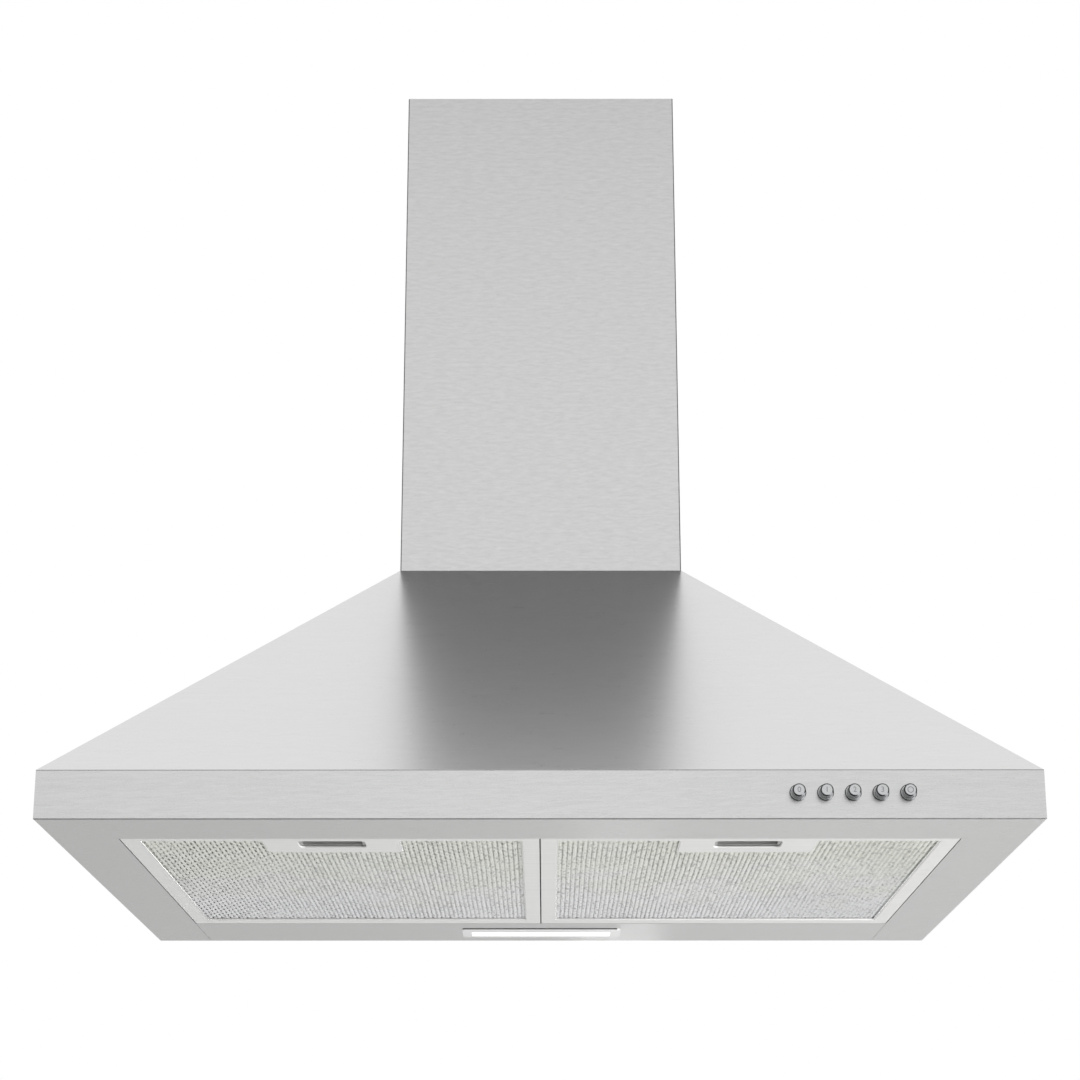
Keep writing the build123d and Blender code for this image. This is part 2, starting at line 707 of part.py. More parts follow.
# Each flap is half a disc with two knuckles on the pin; the rear one is the front one turned round
KNUCKLES = ((-62.0, -34.0), (2.0, 30.0))
for flap_name, turn in (("flap_front", 1), ("flap_rear", -1)):
    spans = [sorted((turn * start, turn * end)) for start, end in KNUCKLES]
    with BuildPart() as flap:
        with BuildSketch(Plane.XY.offset(FLAP_Z - FLAP / 2)):
            with Locations((0, COLLAR_Y)):
                Circle(FLAP_R)
                with Locations((0, -turn * (FLAP_R + KNUCKLE_R + 0.4))):
                    Rectangle(2 * FLAP_R, 2 * FLAP_R, mode=Mode.INTERSECT)
        extrude(amount=FLAP)
        for span in spans:
            block(
                span,
                sorted((COLLAR_Y, COLLAR_Y - turn * (KNUCKLE_R + 1))),
                (FLAP_Z - FLAP / 2, FLAP_Z + FLAP / 2),
            )
            with BuildSketch(Plane.YZ.offset(span[0])):
                with Locations((COLLAR_Y, FLAP_Z)):
                    Circle(KNUCKLE_R)
            extrude(amount=span[1] - span[0])
            with BuildSketch(Plane.YZ.offset(span[0])):
                with Locations((COLLAR_Y, FLAP_Z)):
                    Circle(KNUCKLE_BORE_R)
            extrude(amount=span[1] - span[0], mode=Mode.SUBTRACT)
    finish(flap, flap_name)

# ---------------------------------------------------------------- controls

BUTTON_PLACES = [(BUTTON_X + i * BUTTON_PITCH, BUTTON_Z) for i in range(len(BUTTON_NAMES))]

with BuildPart() as button_collars:
    with BuildSketch(Plane.XZ.offset(DEPTH)):
        with Locations(*BUTTON_PLACES):
            Circle(RING_R)
    extrude(amount=RING_PROUD)
    chamfer(button_collars.edges().group_by(Axis.Y)[0], length=0.5)
    with BuildSketch(Plane.XZ.offset(DEPTH)):
        with Locations(*BUTTON_PLACES):
            Circle(RING_NECK_R)
    extrude(amount=-RING_NECK)
    with BuildSketch(Plane.XZ.offset(DEPTH - RING_NECK)):
        with Locations(*BUTTON_PLACES):
            Circle(RING_BORE_R)
    extrude(amount=RING_NECK + RING_PROUD, mode=Mode.SUBTRACT)
finish(button_collars, "button_collars")

for button_name, place in zip(BUTTON_NAMES, BUTTON_PLACES):
    with BuildPart() as button:
        with BuildSketch(Plane.XZ.offset(DEPTH + BUTTON_OUT)):
            with Locations(place):
                Circle(BUTTON_R)
        extrude(amount=-BUTTON_LENGTH)
        chamfer(button.edges().group_by(Axis.Y)[0], length=0.75)
        with BuildSketch(Plane.XZ.offset(DEPTH + BUTTON_OUT - BUTTON_LENGTH)):
            with Locations(place):
                Circle(BUTTON_STEM_R)
        extrude(amount=-BUTTON_STEM)
    finish(button, button_name)

SWITCH_X = (BUTTON_X - 10.0, BUTTON_PLACES[-1][0] + 10.0)
SWITCH_HALF_HEIGHT = 8.0
SWITCH_WELL = 12.0  # depth of the hole that each stem slides in
STEM_GAP = 0.5
with BuildPart() as switch_block:
    block(
        SWITCH_X,
        (SWITCH_FRONT, SWITCH_REAR),
        (BUTTON_Z - SWITCH_HALF_HEIGHT, BUTTON_Z + SWITCH_HALF_HEIGHT),
    )
    fillet(switch_block.edges().filter_by(Axis.Y), radius=1.5)
    with BuildSketch(Plane.XZ.offset(-SWITCH_FRONT)):
        with Locations(*BUTTON_PLACES):
            Circle(BUTTON_STEM_R + STEM_GAP)
    extrude(amount=-SWITCH_WELL, mode=Mode.SUBTRACT)
finish(switch_block, "switch_block")

# A bridge between the lip and the switch block, with a foot at each end
LIP_INSIDE = -DEPTH + SHEET
BRIDGE = 1.0
BRIDGE_X = (SWITCH_X[0] - 6.0, SWITCH_X[1] + 6.0)
BRIDGE_FOOT = 10.0
BRIDGE_HEIGHT = 18.0
bridge_section = folded(
    [
        (BRIDGE_X[0] - BRIDGE_FOOT, LIP_INSIDE),
        (BRIDGE_X[0], LIP_INSIDE),
        (BRIDGE_X[0], SWITCH_FRONT - BRIDGE),
        (BRIDGE_X[1], SWITCH_FRONT - BRIDGE),
        (BRIDGE_X[1], LIP_INSIDE),
        (BRIDGE_X[1] + BRIDGE_FOOT, LIP_INSIDE),
    ],
    BRIDGE,
    1.5 * BRIDGE,
)
with BuildPart() as switch_bracket:
    with BuildSketch(Plane.XY.offset(BUTTON_Z - BRIDGE_HEIGHT / 2)):
        add(bridge_section)
    extrude(amount=BRIDGE_HEIGHT)
    with BuildSketch(Plane.XZ.offset(-SWITCH_FRONT)):
        with Locations(*BUTTON_PLACES):
            Circle(BUTTON_STEM_R + STEM_GAP)
    extrude(amount=BRIDGE, mode=Mode.SUBTRACT)
finish(switch_bracket, "switch_bracket")

with BuildPart() as control_box:
    block(BOX_X, BOX_Y, BOX_Z)
    block(
        (BOX_X[0] + BOX_WALL, BOX_X[1] - BOX_WALL),
        (BOX_Y[0], BOX_Y[1] - BOX_WALL),
        (BOX_Z[0] + BOX_WALL, BOX_Z[1] - BOX_WALL),
        Mode.SUBTRACT,
    )
finish(control_box, "control_box")

with BuildPart() as control_box_lid:
    block(BOX_X, (BOX_Y[0] - BOX_WALL, BOX_Y[0]), BOX_Z)
    block(
        (BOX_X[0] + BOX_WALL, BOX_X[1] - BOX_WALL),
        (BOX_Y[0], BOX_Y[0] + 6),
        (BOX_Z[1] - 2 * BOX_WALL, BOX_Z[1] - BOX_WALL),
    )
finish(control_box_lid, "control_box_lid")

TERMINALS = 6
TERMINAL_PITCH = 9.0
TERMINAL_X = (BOX_X[0] + 14, BOX_X[0] + 14 + TERMINALS * TERMINAL_PITCH)
TERMINAL_Y = (BOX_Y[1] - BOX_WALL - 14, BOX_Y[1] - BOX_WALL)
TERMINAL_Z = (BOX_Z[0] + 8, BOX_Z[0] + 26)
TERMINAL_BORE_R = 2.0
TERMINAL_BORE = 8.0
with BuildPart() as terminal_block:
    block(TERMINAL_X, TERMINAL_Y, TERMINAL_Z)
    with BuildSketch(Plane.XZ.offset(-TERMINAL_Y[0])):
        with Locations((sum(TERMINAL_X) / 2, sum(TERMINAL_Z) / 2)):
            with GridLocations(TERMINAL_PITCH, TERMINAL_PITCH, TERMINALS, 2):
                Circle(TERMINAL_BORE_R)
    extrude(amount=-TERMINAL_BORE, mode=Mode.SUBTRACT)
finish(terminal_block, "terminal_block")

CAPACITOR_R = 12.5
CAPACITOR = 46.0
CAPACITOR_START = (BOX_X[0] + 16, BOX_Y[0] + 16, BOX_Z[0] + 18)
with BuildPart() as motor_capacitor:
    disc(Plane(origin=CAPACITOR_START, z_dir=(1, 0, 0)), CAPACITOR_R, CAPACITOR)
    fillet(motor_capacitor.edges().filter_by(GeomType.CIRCLE), radius=1.5)
finish(motor_capacitor, "motor_capacitor")

GLAND_FLANGE_R = 11.0
GLAND_FLANGE = 4.0
GLAND = 17.0
GLAND_FOOT = Plane(origin=(GLAND_X, GLAND_Y, DECK_Z - 2 * GLAND_FLANGE))
with BuildPart() as cable_gland:
    disc(GLAND_FOOT, GLAND_NECK_R, GLAND)
    for start in (DECK_Z - GLAND_FLANGE, DECK_Z + DECK):
        with BuildSketch(Plane(origin=(GLAND_X, GLAND_Y, start))):
            RegularPolygon(GLAND_FLANGE_R, 6)
        extrude(amount=GLAND_FLANGE)
    disc(GLAND_FOOT, GLAND_BORE_R, GLAND, Mode.SUBTRACT)
finish(cable_gland, "cable_gland")

# ---------------------------------------------------------------- lamp

with BuildPart() as lamp_bezel:
    with BuildSketch(Plane.XY.offset(BOTTOM - BEZEL_PROUD)):
        with Locations((0, LAMP_Y)):
            RectangleRounded(*BEZEL_SIZE, 3)
    extrude(amount=BEZEL_PROUD)
    chamfer(lamp_bezel.faces().sort_by(Axis.Z)[0].edges(), length=0.4)
    with BuildSketch(Plane.XY.offset(BOTTOM)):
        with Locations((0, LENS_Y)):
            RectangleRounded(*LAMP_NECK, 2)
            Rectangle(*LAMP_SEAT, mode=Mode.SUBTRACT)
    extrude(amount=LAMP_NECK_HEIGHT)
    with BuildSketch(Plane.XY.offset(BOTTOM - BEZEL_PROUD)):
        with Locations((0, LENS_Y)):
            RectangleRounded(*LENS_SIZE, 0.8)
    extrude(amount=BEZEL_PROUD, mode=Mode.SUBTRACT)
finish(lamp_bezel, "lamp_bezel")

with BuildPart() as lamp_lens:
    with BuildSketch(Plane.XY.offset(BOTTOM - BEZEL_PROUD + LENS_SUNK)):
        with Locations((0, LENS_Y)):
            RectangleRounded(*LENS_SIZE, 0.8)
    extrude(amount=BEZEL_PROUD - LENS_SUNK)
    with BuildSketch(Plane.XY.offset(BOTTOM)):
        with Locations((0, LENS_Y)):
            Rectangle(*LAMP_SEAT)
    extrude(amount=LENS_BACK)
finish(lamp_lens, "lamp_lens")

HOUSING_HALF = LAMP_NECK[0] / 2 + LAMP_WALL
HOUSING_Y = (LENS_Y - LAMP_NECK[1] / 2 - LAMP_WALL, LENS_Y + LAMP_NECK[1] / 2 + LAMP_WALL)
with BuildPart() as lamp_housing:
    block((-HOUSING_HALF, HOUSING_HALF), HOUSING_Y, (BOTTOM + SHEET, LAMP_TOP))
    fillet(lamp_housing.edges().filter_by(Axis.Z), radius=2)
    block(
        (-LAMP_NECK[0] / 2, LAMP_NECK[0] / 2),
        (HOUSING_Y[0] + LAMP_WALL, HOUSING_Y[1] - LAMP_WALL),
        (BOTTOM + SHEET, LAMP_TOP - LAMP_WALL),
        Mode.SUBTRACT,
    )
finish(lamp_housing, "lamp_housing")

LED = 3.0
LED_PITCH = 8.0
BOARD = 1.2
BOARD_Z = LAMP_TOP - LAMP_WALL - BOARD
with BuildPart() as led_board:
    with BuildSketch(Plane.XY.offset(BOARD_Z)):
        with Locations((0, LENS_Y)):
            Rectangle(LAMP_NECK[0] - 6, 16)
    extrude(amount=BOARD)
    with BuildSketch(Plane.XY.offset(BOARD_Z)):
        with Locations((0, LENS_Y)):
            with GridLocations(LED_PITCH, 0, LEDS, 1):
                Rectangle(LED, LED)
    extrude(amount=-1)
finish(led_board, "led_board")

# ---------------------------------------------------------------- grease filters

FILTER_TOP = FILTER_Z + FILTER_T
FACE_TOP = FILTER_Z + FILTER_WALL
WINDOW_HALF = FILTER_HALF_X - STRIP_SIDE
WINDOW_Y = (FILTER_FRONT + STRIP_FRONT, FILTER_REAR - STRIP_REAR)
POCKET_HALF = PAD_WIDTH / 2 + 1.0
POCKET_REAR = PAD_REAR + 1.0
LATCH_GAP = 0.5
LATCH_Z = FACE_TOP + 0.3
LATCH = 1.6
GUIDE_WALL = 1.5
STOP_HALF = 6.0
SEAT_HALF = 5.0
SEAT = 1.5
CUP_HALF = 20.0
CUP_Y = (-426.0, -408.0)
CUP_WALL = 1.2
CUP_TOP = FILTER_Z + 7.4
TONGUE_HALF = 10.0
TAB_Z = BOTTOM + SHEET + HEM_R + 0.08
TAB = 1.0
TAB_OUT = 80.0
SPRING_STOP = -394.0
SPRING_R = 1.9
SPRING_WIRE_R = 0.3
SPRING_TURNS = 6
SPRING_Z = FILTER_Z + 5.2
CELL_OPEN = 0.9  # share of a mesh cell that is open, along each diagonal
MESH_EDGE = 5.0  # how far the mesh reaches into the frame's channel
NET = 0.6
NET_Z = FACE_TOP + RETURN + 0.2
PACK_Z = NET_Z + 2.2
PACK = 1.0


def filter_frame(middle):
    """A channel bent inwards round the mesh, with two tabs that rest on the rear bar's hem."""
    x = (middle - FILTER_HALF_X, middle + FILTER_HALF_X)
    y = (FILTER_FRONT, FILTER_REAR)
    window_x = (middle - WINDOW_HALF, middle + WINDOW_HALF)
    with BuildPart() as frame:
        block(x, y, (FILTER_Z, FILTER_TOP))
        fillet(frame.edges().filter_by(Axis.Z), radius=1.5)
        block(
            (x[0] + FILTER_WALL, x[1] - FILTER_WALL),
            (y[0] + FILTER_WALL, y[1] - FILTER_WALL),
            (FACE_TOP, FILTER_TOP - FILTER_WALL),
            Mode.SUBTRACT,
        )
        block(
            (window_x[0] - RETURN_WALL, window_x[1] + RETURN_WALL),
            (WINDOW_Y[0] - RETURN_WALL, WINDOW_Y[1] + RETURN_WALL),
            (FACE_TOP, FACE_TOP + RETURN),
        )
        block(window_x, WINDOW_Y, (FILTER_Z, FILTER_TOP), Mode.SUBTRACT)
        fillet(frame.faces().sort_by(Axis.Z)[0].inner_wires()[0].edges(), radius=ROLL)
        block(
            (middle - PAD_WIDTH / 2, middle + PAD_WIDTH / 2),
            (y[0] + FILTER_WALL, WINDOW_Y[0]),
            (FILTER_Z, FACE_TOP + RETURN),
            Mode.SUBTRACT,
        )
        block(
            (middle - TONGUE_HALF - 1, middle + TONGUE_HALF + 1),
            (y[0] - 1, y[0] + FILTER_WALL),
            (FACE_TOP, LATCH_Z + LATCH + 0.3),
            Mode.SUBTRACT,
        )
        for out in (-TAB_OUT, TAB_OUT):
            block(
                (middle + out - TAB_WIDTH / 2, middle + out + TAB_WIDTH / 2),
                (y[1] - FILTER_WALL, HEM_Y + HEM_FOLD - 1),
                (TAB_Z, TAB_Z + TAB),
            )
    return frame


MESH_SIZE = (2 * (WINDOW_HALF + MESH_EDGE), WINDOW_Y[1] - WINDOW_Y[0] + 2 * MESH_EDGE)
MESH_Y = (WINDOW_Y[0] + WINDOW_Y[1]) / 2
MESH_FRONT = MESH_Y - MESH_SIZE[1] / 2
POCKET_Y = (MESH_FRONT + POCKET_REAR) / 2
POCKET = (2 * POCKET_HALF, POCKET_REAR - MESH_FRONT)


def filter_mesh(middle):
    """The grease mesh, a net of diamonds with a solid edge round the latch's pocket."""
    pitch = (2 * WINDOW_HALF / MESH_COLUMNS, (WINDOW_Y[1] - WINDOW_Y[0]) / MESH_ROWS)
    across = pitch[0] / 2 * CELL_OPEN
    along = pitch[1] / 2 * CELL_OPEN
    with BuildPart() as mesh:
        with BuildSketch(Plane.XY.offset(NET_Z)):
            with Locations((middle, MESH_Y)):
                Rectangle(*MESH_SIZE)
                for columns, rows in ((MESH_COLUMNS, MESH_ROWS), (MESH_COLUMNS - 1, MESH_ROWS - 1)):
                    with GridLocations(*pitch, columns, rows):
                        Polygon((across, 0), (0, along), (-across, 0), (0, -along), mode=Mode.SUBTRACT)
            with Locations((middle, POCKET_Y + MESH_BAR)):
                Rectangle(POCKET[0] + 4 * MESH_BAR, POCKET[1] + 2 * MESH_BAR)
            with Locations((middle, POCKET_Y)):
                Rectangle(*POCKET, mode=Mode.SUBTRACT)
        extrude(amount=NET)
    return mesh


def filter_pack(middle):
    """The layers of foil that the mesh holds, as one thin sheet with the same pocket."""
    with BuildPart() as pack:
        with BuildSketch(Plane.XY.offset(PACK_Z)):
            with Locations((middle, MESH_Y)):
                Rectangle(*MESH_SIZE)
            with Locations((middle, POCKET_Y)):
                Rectangle(*POCKET, mode=Mode.SUBTRACT)
        extrude(amount=PACK)
    return pack


def filter_pad(middle):
    """The handle pad in the frame's face, edges turned in, with the finger slot and latch guides."""
    width = (middle - PAD_WIDTH / 2, middle + PAD_WIDTH / 2)
    with BuildPart() as pad:
        block(width, (WINDOW_Y[0], PAD_REAR), (FILTER_Z, FACE_TOP + RETURN))
        fillet(pad.edges().filter_by(Axis.Z).group_by(Axis.Y)[-1], radius=2)
        fillet(pad.faces().sort_by(Axis.Z)[0].edges().sort_by(Axis.Y)[1:], radius=ROLL)
        block(width, (FILTER_FRONT + FILTER_WALL, WINDOW_Y[0]), (FILTER_Z, FACE_TOP + RETURN))
        block(
            (middle - PAD_WIDTH / 2 + RETURN_WALL, middle + PAD_WIDTH / 2 - RETURN_WALL),
            (FILTER_FRONT + FILTER_WALL, PAD_REAR - RETURN_WALL),
            (FACE_TOP, FACE_TOP + RETURN),
            Mode.SUBTRACT,
        )
        with BuildSketch(Plane.XY.offset(FILTER_Z)):
            with Locations((middle, (SLOT_FRONT + SLOT_REAR) / 2)):
                RectangleRounded(SLOT_WIDTH, SLOT_REAR - SLOT_FRONT, SLOT_CORNER)
        extrude(amount=FILTER_WALL, mode=Mode.SUBTRACT)
        chamfer(pad.faces().sort_by(Axis.Z)[0].inner_wires()[0].edges(), length=SLOT_CHAMFER)
        for side in (-1, 1):
            guide = LATCH_HALF + LATCH_GAP
            block(
                sorted((middle + side * guide, middle + side * (guide + GUIDE_WALL))),
                (LATCH_FRONT, SPRING_STOP + GUIDE_WALL),
                (FACE_TOP, LATCH_Z + LATCH + GUIDE_WALL),
            )
        block(
            (middle - STOP_HALF, middle + STOP_HALF),
            (SPRING_STOP, SPRING_STOP + GUIDE_WALL),
            (FACE_TOP, CUP_TOP),
        )
    return pad


def filter_latch(middle):
    """The sliding latch: a plate behind the slot with a finger cup, a tongue and a spring seat."""
    with BuildPart() as latch:
        plate_z = (LATCH_Z, LATCH_Z + LATCH)
        block((middle - LATCH_HALF, middle + LATCH_HALF), (LATCH_FRONT, LATCH_REAR), plate_z)
        block((middle - TONGUE_HALF, middle + TONGUE_HALF), (FILTER_FRONT, LATCH_FRONT), plate_z)
        block((middle - CUP_HALF, middle + CUP_HALF), CUP_Y, (LATCH_Z, CUP_TOP))
        fillet(latch.faces().sort_by(Axis.Z)[-1].edges(), radius=2)
        block(
            (middle - CUP_HALF + CUP_WALL, middle + CUP_HALF - CUP_WALL),
            (CUP_Y[0] + CUP_WALL, CUP_Y[1] - CUP_WALL),
            (LATCH_Z, CUP_TOP - CUP_WALL),
            Mode.SUBTRACT,
        )
        block(
            (middle - SEAT_HALF, middle + SEAT_HALF),
            (LATCH_REAR - SEAT, LATCH_REAR),
            (plate_z[1], CUP_TOP),
        )
    return latch


def latch_spring(middle):
    """A small compression spring between the latch's seat and the pad's stop."""
    length = SPRING_STOP - LATCH_REAR
    with BuildPart() as spring:
        with BuildLine() as coil:
            Helix(
                pitch=(length - 2 * SPRING_WIRE_R) / SPRING_TURNS,
                height=length - 2 * SPRING_WIRE_R,
                radius=SPRING_R,
                center=(middle, LATCH_REAR + SPRING_WIRE_R, SPRING_Z),
                direction=(0, 1, 0),
            )
        with BuildSketch(Plane(origin=coil.line @ 0, z_dir=coil.line % 0)):
            Circle(SPRING_WIRE_R)
        sweep(path=coil.line, is_frenet=True)
    return spring


for side_name, side in (("left", -1), ("right", 1)):
    middle = side * FILTER_MID_X
    finish(filter_frame(middle), "filter_frame_" + side_name)
    finish(filter_mesh(middle), "filter_mesh_" + side_name)
    finish(filter_pack(middle), "filter_pack_" + side_name)
    finish(filter_pad(middle), "filter_pad_" + side_name)
    finish(filter_latch(middle), "filter_latch_" + side_name)
    finish(latch_spring(middle), "latch_spring_" + side_name)

# ---------------------------------------------------------------- leads and fasteners

# The leads' routes: points chosen along their way, heights counted from the lower edge
SWITCH_ROUTE = [
    (186, SWITCH_REAR, 16),
    (186, -446, 16),
    (222, -434, 18),
    (270, -404, 13),
    (284, -330, 5.2),
    (283, -200, 5.2),
    (281, -100, 6),
    (276, -48, 24),
    (262, -26, 50),
    (BOX_X[1], -26, 50),
]
LAMP_ROUTE = [
    (HOUSING_HALF, LENS_Y, 10),
    (78, LENS_Y, 10),
    (104, -36, 14),
    (126, -29, 34),
    (138, -26, 46),
    (BOX_X[0], -26, 46),
]
MOTOR_ROUTE = [
    (MOTOR_END + 2, FAN_Y + 34, 128),
    (74, FAN_Y + 34, 128),
    (98, -79, 127),
    (132, -54, 118),
    (158, -36, 104),
    (170, -28, 88),
    (170, -28, BOX_Z[1] - BOTTOM),
]


def lead(route, name):
    """A sheathed lead: straight runs along its route, joined by arcs as large as the runs allow."""
    points = [Vector(x, y, BOTTOM + height) for x, y, height in route]
    radii = []
    for before, corner, after in zip(points, points[1:], points[2:]):
        turn = math.radians((corner - before).get_angle(after - corner))
        run = min((corner - before).length, (after - corner).length)
        radii.append(0.45 * run / math.tan(turn / 2))
    with BuildPart() as tube:
        with BuildLine() as path:
            FilletPolyline(*points, radius=radii)
        with BuildSketch(Plane(origin=points[0], z_dir=points[1] - points[0])):
            Circle(LEAD_R)
        sweep(path=path.line)
    length = sum(edge.length for edge in path.line.edges())
    share = tube.part.volume / (math.pi * LEAD_R**2 * length)
    print(name, "length", round(length), "radii", [round(r) for r in radii], round(share, 3))
    finish(tube, name)


lead(SWITCH_ROUTE, "switch_lead")
lead(LAMP_ROUTE, "lamp_lead")
lead(MOTOR_ROUTE, "motor_lead")

# Clips on the side flange hold the switch lead where it runs straight
CLIP = 8.0
CLIP_WALL = 1.2
CLIP_FOOT = 13.0
with BuildPart() as lead_clips:
    for clip_y in (-300.0, -230.0):
        share = (clip_y - SWITCH_ROUTE[4][1]) / (SWITCH_ROUTE[5][1] - SWITCH_ROUTE[4][1])
        clip_x = SWITCH_ROUTE[4][0] + share * (SWITCH_ROUTE[5][0] - SWITCH_ROUTE[4][0])
        clip_z = BOTTOM + SWITCH_ROUTE[4][2]
        with BuildSketch(Plane.XZ.offset(-clip_y)):
            with Locations((clip_x, clip_z)):
                Circle(LEAD_R + CLIP_WALL)
            with Locations((clip_x + 5, BOTTOM + SHEET + CLIP_WALL / 2)):
                Rectangle(CLIP_FOOT, CLIP_WALL)
            with Locations((clip_x, clip_z)):
                Circle(LEAD_R + 0.3, mode=Mode.SUBTRACT)
        extrude(amount=CLIP)
finish(lead_clips, "lead_clips")

COVER_SCREW = LOWER_HALF - DECK_HALF + DECK + 2.0
screw_places = []
for side in (-1, 1):
    cover_place = (side * LOWER_HALF, COVER_SCREW_Y, COVER_SCREW_Z)
    screw_places.append((Plane(origin=cover_place, z_dir=(side, 0, 0)), COVER_SCREW))
    for end in (-1, 1):
        collar_place = (
            side * COLLAR_SCREWS[0] / 2,
            OUTLET_Y + end * COLLAR_SCREWS[1] / 2,
            COLLAR_FOOT + COLLAR_BASE,
        )
        screw_places.append((Plane(origin=collar_place), COLLAR_BASE + DECK + 2.0 + 3.0))
for lug_y, lug_z in LUG_PLACES:
    lug_place = (LUG_LENGTH, FAN_Y + lug_y, FAN_Z + lug_z)
    screw_places.append((Plane(origin=lug_place, z_dir=(1, 0, 0)), 2 * LUG_LENGTH))
for arm in range(ARMS):
    turn = math.radians(ARM_START + 360 / ARMS * arm)
    foot_y = FAN_Y + FOOT_RADIUS * math.cos(turn)
    foot_z = FAN_Z + FOOT_RADIUS * math.sin(turn)
    screw_places.append(
        (Plane(origin=(BUSH_START + BUSH, foot_y, foot_z), z_dir=(1, 0, 0)), BUSH + CASING_WALL + 2.0)
    )

with BuildPart() as m4_screws:
    for screw_plane, length in screw_places:
        disc(screw_plane, M4_HEAD_R, M4_HEAD)
        disc(screw_plane, M4_R, -length)
finish(m4_screws, "m4_screws")
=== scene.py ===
# Wall-mounted chimney range hood: finishes, expanded filter mesh and button numbers
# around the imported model. Metres, +Z up, wall at y = 0, room on the -Y side.
import math

import bmesh
import bpy
import numpy as np
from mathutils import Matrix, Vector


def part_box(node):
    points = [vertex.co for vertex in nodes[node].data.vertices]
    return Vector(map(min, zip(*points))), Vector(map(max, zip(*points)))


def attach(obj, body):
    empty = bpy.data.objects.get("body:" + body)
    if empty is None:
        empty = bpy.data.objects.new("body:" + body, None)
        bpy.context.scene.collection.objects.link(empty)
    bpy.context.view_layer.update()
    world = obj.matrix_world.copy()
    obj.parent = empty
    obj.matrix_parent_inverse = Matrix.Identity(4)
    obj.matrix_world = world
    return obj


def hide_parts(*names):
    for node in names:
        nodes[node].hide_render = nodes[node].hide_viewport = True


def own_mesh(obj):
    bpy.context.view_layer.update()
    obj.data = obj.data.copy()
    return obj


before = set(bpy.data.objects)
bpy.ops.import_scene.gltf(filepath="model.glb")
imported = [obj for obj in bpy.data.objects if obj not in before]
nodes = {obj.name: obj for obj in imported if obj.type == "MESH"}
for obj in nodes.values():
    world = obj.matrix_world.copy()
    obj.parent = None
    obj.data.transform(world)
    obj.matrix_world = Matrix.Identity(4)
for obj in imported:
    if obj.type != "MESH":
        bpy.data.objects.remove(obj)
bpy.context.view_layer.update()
mm = 0.001
print("frame loaded:", len(nodes), "nodes")


# small helpers

def linear(hexColour):
    # sRGB hex to linear: below 0.04045 a straight line, above it the 2.4 power
    parts = [int(hexColour[i:i + 2], 16) / 255 for i in (1, 3, 5)]
    return [c / 12.92 if c <= 0.04045 else ((c + 0.055) / 1.055) ** 2.4 for c in parts] + [1.0]


def addNode(tree, kind, settings=None, **links):
    # a node with its settings, and links from other sockets into its inputs by name or number;
    # a Mix node's two colours are its inputs 6 and 7, and the mixed colour is its output 2
    made = tree.nodes.new(kind)
    for name, value in (settings or {}).items():
        if hasattr(made, name):
            setattr(made, name, value)
        else:
            made.inputs[int(name) if name.isdigit() else name].default_value = value
    for name, source in links.items():
        key = int(name[1:]) if name[1:].isdigit() else name.replace("_", " ")
        tree.links.new(source, made.inputs[key])
    return made


def newMaterial(name, colour, roughness, metallic=0.0, **sockets):
    # a Principled material with its constant values set on the shader's own sockets
    material = bpy.data.materials.new(name)
    material.use_nodes = True
    tree = material.node_tree
    shader = tree.nodes["Principled BSDF"]
    shader.inputs["Base Color"].default_value = linear(colour)
    shader.inputs["Roughness"].default_value = roughness
    shader.inputs["Metallic"].default_value = metallic
    for socket, value in sockets.items():
        shader.inputs[socket.replace("_", " ")].default_value = value
    return material, tree, shader


def inMillimetres(tree, x, y=None, z=None):
    # Object coordinates counted in steps of a size in millimetres, one for all axes or one for each
    where = addNode(tree, "ShaderNodeTexCoord")
    steps = [1 / (mm * size) for size in (x, y or x, z or x)]
    return addNode(tree, "ShaderNodeMapping", {"Scale": steps},
                   Vector=where.outputs["Object"]).outputs[0]


noiseSpan = {"From Min": 0.25, "From Max": 0.75}  # nearly all of a noise's values lie in here


def give(material, *names):
    for name in names:
        nodes[name].data.materials.clear()
        nodes[name].data.materials.append(material)


def addPiece(name, pieceMesh, material, body):
    pieceMesh.materials.append(material)
    piece = bpy.data.objects.new(name, pieceMesh)
    bpy.context.scene.collection.objects.link(piece)
    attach(piece, body)
    return piece


def meshPiece(name, verts, faces, material, body, smooth=False):
    pieceMesh = bpy.data.meshes.new(name)
    pieceMesh.from_pydata(verts.tolist(), [], faces)
    if smooth:
        pieceMesh.shade_smooth()
    return addPiece(name, pieceMesh, material, body)


# camera, light and floor

view = {
    "lens": 81.26, "sensor": 36.0,
    "place": (0.00304, -1.92493, -0.47996),
    "turn": (107.464, 0.0, 0.117),
    "farthest": 100,
}
camera = bpy.data.objects.new("camera", bpy.data.cameras.new("camera"))
camera.data.sensor_width = view["sensor"]
camera.data.lens = view["lens"]
camera.data.clip_end = view["farthest"]
camera.location = view["place"]
camera.rotation_euler = [math.radians(angle) for angle in view["turn"]]
bpy.context.scene.collection.objects.link(camera)
bpy.context.scene.camera = camera
bpy.context.scene.view_settings.view_transform = "Standard"

